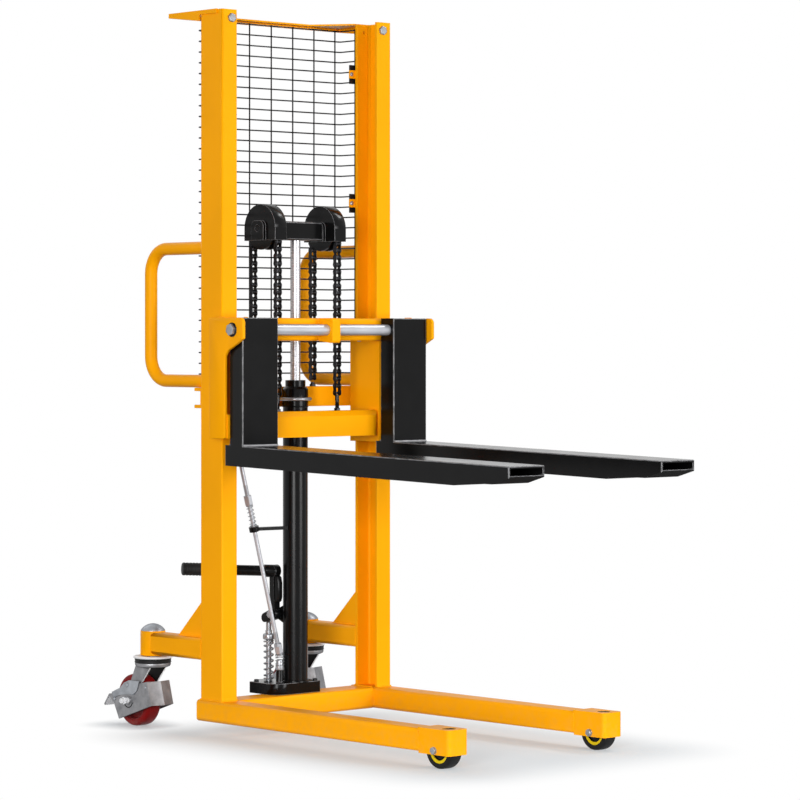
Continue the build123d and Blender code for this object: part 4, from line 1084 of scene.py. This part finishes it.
SOCKET_SCREW = [(0, 0), (0, 5.5), (4.6, 5.5), (5.2, 4.9), (5.2, 2.6), (2.6, 2.6), (2.6, 0)]
GLAND_OUTSIDE = [(770, 28), (770, 30.4), (770.6, 31), (810, 31), (811, 30.4), (820.5, 20.8), (821.6, 20),
                 (830.8, 20), (832, 18.8)]

# Outline of the lever's rib in Y and Z, and places on the block's top in X and Y, in millimetres
LEVER_RIB = [(72, 298), (60, 304), (56.5, 314), (56.5, 348), (60, 362), (72, 370)]
SCREW_PLACES = [(45, 28), (45, 106), (-74, 104)]
BLOCK_TOP = 112


class STACKER_OT_pump(bpy.types.Operator):
    """Fit the plunger, pedal sleeve, lever rib, valve, screws and gland of the pump"""

    bl_idname = "stacker.pump"
    bl_label = "Pump and Valve"

    def plunger(self):
        """Plunger with a rounded spring cap."""
        bm = bmesh.new()
        lathe(bm, metres(PLUNGER), at(-35, 105, 0), UP, segments=40)
        fit("pump_plunger_body", "plunger_with_cap", bm, "zinc_plate", "zinc_steel", "pump_plunger")

    def pedal_sleeve(self):
        """Ribbed rubber sleeve on the end of the pedal bar."""
        end = at(-240, 177, 385)
        run = (end - at(-44, 78, 376)).normalized()
        rib_gap, rib_count = 8, 7
        ribs = [(along + rib_gap * rib, radius) for rib in range(rib_count) for along, radius in SLEEVE_RIB]
        bm = bmesh.new()
        lathe(bm, metres(SLEEVE_START + ribs + SLEEVE_END), end - run * 0.0602, run, segments=40)
        fit("pump_lever_body", "pedal_sleeve", bm, "black_rubber", "rubber_block")

    def lever_rib(self):
        """Stiffening rib along the lever's upright, beside the cylinder."""
        bm = bmesh.new()
        prism(bm, metres(LEVER_RIB), side_plane(-47), depth=0.0145, edge=0.0012)
        fit("pump_lever_body", "lever_rib", bm, "satin_black", "black_paint")

    def pivot_bolts(self):
        """Bolt heads on the pivots of the two levers."""
        bm = bmesh.new()
        seated_head(bm, "pump_pivot_head", at(-53.3, 76, 273), (-1, 0, 0))
        seated_head(bm, "release_pivot_head", at(-194.3, 98, 754), (-1, 0, 0))
        fit("mast", "pivot_bolts", bm, "zinc_plate", "zinc_steel")

    def valve(self):
        """Plated cap nut of the release valve, and the collar, nut and threads of its rod."""
        bm = bmesh.new()
        lathe(bm, metres(VALVE_CAP), at(VALVE_X, VALVE_Y, 0), UP, segments=32, closed=True)
        fit("mast", "valve_cap", bm, "zinc_plate", "zinc_steel")
        bm = bmesh.new()
        run = (rod_head - rod_foot).normalized()
        lathe(bm, metres(ROD_COLLAR), rod_foot, run, segments=28)
        hex_head(bm, rod_foot + run * 0.0206, run, across=0.0165, height=0.007)
        for start, length in ((0.0275, 0.03), (0.3945, 0.026)):
            thread(bm, rod_foot + run * start, run, length, radius=0.0054)
        fit("release_rod_body", "release_rod_threads", bm, "zinc_plate", "zinc_steel")

    def block_screws(self):
        """Socket screws and filler plug on the pump block, and the beads round the cylinder."""
        bm = bmesh.new()
        for x, y in SCREW_PLACES:
            lathe(bm, metres(SOCKET_SCREW), at(x, y, BLOCK_TOP), UP, segments=24)
        seated_head(bm, "filler_plug", at(30, 96, BLOCK_TOP), UP)
        fit("mast", "block_screws", bm, "black_steel", "zinc_steel")
        bm = bmesh.new()
        for z, ring, bead in ((112.5, 0.0305, 0.003), (768.5, 0.0302, 0.0012), (770.5, 0.0302, 0.0012)):
            weld_bead(bm, ring_route(at(0, CYLINDER_Y, z), UP, ring, steps=60), bead)
        fit("mast", "cylinder_beads", bm, "satin_black", "black_paint")

    def gland(self):
        """Gland nut with a sloped shoulder and a wiper lip."""
        rod_clearance = 0.3
        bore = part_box("piston_rod")[1][0] * 1000 + rod_clearance
        outline = [*GLAND_OUTSIDE, (832, bore), (800, bore), (800, 28)]
        bm = bmesh.new()
        lathe(bm, metres(outline), at(0, CYLINDER_Y, 0), UP, segments=64, closed=True)
        fit("mast", "gland_nut", bm, "satin_black", "black_paint", "cylinder_gland")

    def execute(self, context):
        self.plunger()
        self.pedal_sleeve()
        self.lever_rib()
        self.pivot_bolts()
        self.valve()
        self.block_screws()
        self.gland()
        return {"FINISHED"}


# Weld runs on the right side, in millimetres from end to end
FRAME_RUNS = [
    ((220, 0, 85.5), (265, 0, 85.5)), ((265, 0, 85.5), (265, 80, 85.5)), ((265, 80, 85.5), (220, 80, 85.5)),
    ((210, 1, 43), (210, 1, 78)), ((210, 9, 85), (210, 71, 85)), ((210, 79, 43), (210, 79, 78)),
    ((237, 84, 229.5), (237, 182, 229.5)), ((237, 80.5, 232), (237, 80.5, 324)),
    ((248, 84, 229.5), (248, 182, 229.5)), ((248, 80.5, 232), (248, 80.5, 324)),
    ((227, 80.5, 229), (258, 80.5, 229)), ((220.5, 80.5, 184), (220.5, 80.5, 222)),
    ((264.5, 80.5, 184), (264.5, 80.5, 222)), ((220, 80.5, 768), (261, 80.5, 768)),
    ((220, 80.5, 816), (261, 80.5, 816)), ((211, -679, 86), (269, -679, 86)),
    ((270, -679.5, 42), (270, -679.5, 80)), ((210, -679.5, 42), (210, -679.5, 80)),
]
CARRIAGE_RUNS = [
    ((292, -44, 980), (292, -22, 980)), ((292, -51, 934), (292, -51, 972)),
    ((292, -44, 926), (292, -22, 926)), ((200, -12, 759), (200, 5, 759)),
    ((13, -52, 932), (13, -52, 976)), ((200, -14, 980), (210, -14, 980)),
]
HANDLE_X, HANDLE_FEET = 242.5, (831.1, 1145)
FORK_TOP, FORK_DROP, FORK_RUN, FORK_START = 685.3, 22.4, 940, 39
FORK_HEEL, FORK_REAR = 103, 55


class STACKER_OT_welds(bpy.types.Operator):
    """Lay the weld beads of the frame, the carriage and the forks"""

    bl_idname = "stacker.welds"
    bl_label = "Weld Beads"

    def lay(self, name, runs, finish_name, slot, body, share=0.62):
        """Beads along straight runs and rings, on one body."""
        bm = bmesh.new()
        for run in runs:
            weld_bead(bm, run, sizes().weld_radius * share)
        fit(body, name, bm, finish_name, slot, sharp=60)

    def on_side(self, sign, runs):
        """Runs as points on one side of the machine."""
        return [[at(sign * x, y, z) for x, y, z in run] for run in runs]

    def fork_runs(self):
        """Runs round the foot of a fork shank, on the blade's sloping top."""
        heights = {y: FORK_TOP - FORK_DROP * (y - FORK_START) / FORK_RUN for y in (FORK_HEEL, FORK_REAR)}
        return [((183, -y, height), (286, -y, height)) for y, height in heights.items()]

    def execute(self, context):
        frame_runs, carriage_runs = [], []
        for sign in SIDES.values():
            feet = [at(sign * HANDLE_X, 80.5, height) for height in HANDLE_FEET]
            frame_runs += self.on_side(sign, FRAME_RUNS)
            frame_runs += [ring_route(foot, ALONG_Y, radius=0.0155, steps=40) for foot in feet]
            carriage_runs += self.on_side(sign, CARRIAGE_RUNS)
        self.lay("frame_beads", frame_runs, "frame_paint", "yellow_paint", "mast")
        self.lay("carriage_beads", carriage_runs, "frame_paint", "yellow_paint", "carriage")
        for side, sign in SIDES.items():
            runs = self.on_side(sign, self.fork_runs())
            self.lay(side + "_fork_beads", runs, "pressed_steel", "black_paint", side + "_fork_arm", 1.0)
        return {"FINISHED"}


# Stage values in metres and watts
LEG_FOOTPRINT = [("SUBTRACT", (0, -0.07, 0)), ("ABSOLUTE",), ("SUBTRACT", (0.27, 0.43, 0)),
                 ("MAXIMUM", (0, 0, 0))]
CASTER_FOOTPRINT = [("SUBTRACT", (0, 0.6125, 0)), ("ABSOLUTE",), ("SUBTRACT", (0.2425, 0, 0)), ("ABSOLUTE",),
                    ("SUBTRACT", (0.02, 0.04, 0)), ("MAXIMUM", (0, 0, 0))]
LEG_FADE, CASTER_FADE = 0.3, 0.12
FLOOR_GLOW = 0.30
FLOOR_HALF = 40
LAMP_TARGET = Vector((0, 0, 0.8))
LAMPS = {
    "key_light": dict(place=(1.2, -5.2, 1.0), size=2.2, power=172),
    "fill_light": dict(place=(-4.6, -3.0, 1.0), size=2.0, power=203),
    "back_light": dict(place=(0.5, 3.8, 3.4), size=3.0, power=30),
    "top_light": dict(place=(3.2, -0.6, 4.4), size=0.9, power=45),
}
WHITE = (1, 1, 1, 1)


class STACKER_OT_stage(bpy.types.Operator):
    """Set the floor, the lights and the camera"""

    bl_idname = "stacker.stage"
    bl_label = "Studio Stage"

    def seen(self, tree):
        """1 for what the camera sees straight, in a mirror or through glass."""
        path = tree.nodes.new("ShaderNodeLightPath").outputs
        mirrored = maths(tree, "MAXIMUM", path["Is Glossy Ray"], path["Is Transmission Ray"])
        return maths(tree, "MAXIMUM", path["Is Camera Ray"], mirrored)

    def beyond(self, tree, place, footprint, reach):
        """0 on a footprint and 1 further than a reach from it."""
        for operation, *value in footprint:
            place = maths(tree, operation, place, *value, kind="ShaderNodeVectorMath")
        away = add_node(tree, "ShaderNodeVectorMath", operation="LENGTH", vector=place).outputs["Value"]
        return add_node(tree, "ShaderNodeMapRange", interpolation_type="SMOOTHSTEP", value=away,
                        from_max=reach).outputs["Result"]

    def floor(self):
        """A pale floor that fades to white far from the machine and keeps its shadow."""
        made, tree, shader = new_finish("studio_floor")
        seen = self.seen(tree)
        settings = {"Base Color": tint("floor"), "Roughness": 0.9, "Specular IOR Level": 0.0,
                    "Emission Color": WHITE, "Emission Strength": maths(tree, "MULTIPLY", seen, FLOOR_GLOW)}
        for socket, value in settings.items():
            feed(tree, shader.inputs[socket], value)
        place = object_place(tree)
        nearest = maths(tree, "MINIMUM", self.beyond(tree, place, LEG_FOOTPRINT, LEG_FADE),
                        self.beyond(tree, place, CASTER_FOOTPRINT, CASTER_FADE))
        white = add_node(tree, "ShaderNodeEmission", strength=seen)
        faded = tree.nodes.new("ShaderNodeMixShader")
        for socket, value in zip(faded.inputs, (nearest, shader.outputs["BSDF"], white.outputs["Emission"])):
            feed(tree, socket, value)
        feed(tree, tree.nodes["Material Output"].inputs["Surface"], faded.outputs[0])
        mesh = bpy.data.meshes.new("studio_floor")
        corners = [(x * FLOOR_HALF, y * FLOOR_HALF, 0) for x, y in ((-1, -1), (1, -1), (1, 1), (-1, 1))]
        mesh.from_pydata(corners, [], [(0, 1, 2, 3)])
        mesh.materials.append(made)
        floor = bpy.data.objects.new("studio_floor", mesh)
        bpy.context.scene.collection.objects.link(floor)

    def lamp(self, name, place, size, power):
        """A square soft box that faces the machine."""
        light = bpy.data.lights.new(name, "AREA")
        light.shape = "SQUARE"
        light.size = size
        light.energy = power
        lamp = bpy.data.objects.new(name, light)
        lamp.location = place
        lamp.rotation_euler = (LAMP_TARGET - Vector(place)).to_track_quat("-Z", "Y").to_euler()
        bpy.context.scene.collection.objects.link(lamp)

    def world(self):
        """White to the camera and in reflections; as a light, bright near the floor and dim overhead."""
        world = bpy.data.worlds.new("studio")
        bpy.context.scene.world = world
        world.use_nodes = True
        tree = world.node_tree
        back = tree.nodes["Background"]
        back.inputs["Color"].default_value = WHITE
        direction = add_node(tree, "ShaderNodeTexCoord").outputs["Generated"]
        split = add_node(tree, "ShaderNodeSeparateXYZ", vector=direction)
        sky = map_range(tree, split.outputs["Z"], 1.0, 0.0, 0.0, 1.0)
        feed(tree, back.inputs["Strength"], maths(tree, "MAXIMUM", self.seen(tree), sky))

    def camera(self):
        """A long lens at the photograph's angle."""
        lens = bpy.data.cameras.new("studio_camera")
        lens.sensor_width = 36
        lens.lens = 146.7
        lens.shift_y = -0.0786
        lens.clip_end = 200
        camera = bpy.data.objects.new("studio_camera", lens)
        camera.location = (-5.0698, -5.6155, 0.9349)
        camera.rotation_euler = (math.radians(90), 0, math.radians(-42.35))
        bpy.context.scene.collection.objects.link(camera)
        bpy.context.scene.camera = camera

    def execute(self, context):
        self.floor()
        for name, values in LAMPS.items():
            self.lamp(name, **values)
        self.world()
        self.camera()
        bpy.context.scene.view_settings.view_transform = "Standard"
        return {"FINISHED"}


OPERATORS = [STACKER_OT_frame, STACKER_OT_guard, STACKER_OT_chains, STACKER_OT_springs, STACKER_OT_fasteners,
             STACKER_OT_wheels, STACKER_OT_casters, STACKER_OT_pump, STACKER_OT_welds, STACKER_OT_stage]


class STACKER_PT_panel(bpy.types.Panel):
    """Sizes, colours and build steps of the stacker"""

    bl_label = "Pallet Stacker"
    bl_idname = "STACKER_PT_panel"
    bl_space_type = "VIEW_3D"
    bl_region_type = "UI"
    bl_category = "Stacker"

    def draw(self, context):
        layout = self.layout
        for group in (context.scene.stacker_sizes, context.scene.stacker_colours):
            for key in group.bl_rna.properties.keys():
                if key not in ("rna_type", "name"):
                    layout.prop(group, key)
        for operator in OPERATORS:
            layout.operator(operator.bl_idname)


CLASSES = [StackerSizes, StackerColours, *OPERATORS, STACKER_PT_panel]


def register():
    """Add the classes and the scene's settings."""
    for made in CLASSES:
        bpy.utils.register_class(made)
    bpy.types.Scene.stacker_sizes = PointerProperty(type=StackerSizes)
    bpy.types.Scene.stacker_colours = PointerProperty(type=StackerColours)


def unregister():
    """Take the settings and the classes away."""
    del bpy.types.Scene.stacker_colours
    del bpy.types.Scene.stacker_sizes
    for made in reversed(CLASSES):
        bpy.utils.unregister_class(made)


def main():
    """Dress the stacker."""
    register()
    bpy.ops.stacker.frame()
    bpy.ops.stacker.guard()
    bpy.ops.stacker.chains()
    bpy.ops.stacker.springs()
    bpy.ops.stacker.fasteners()
    bpy.ops.stacker.wheels()
    bpy.ops.stacker.casters()
    bpy.ops.stacker.pump()
    bpy.ops.stacker.welds()
    bpy.ops.stacker.stage()


if __name__ == "__main__":
    main()
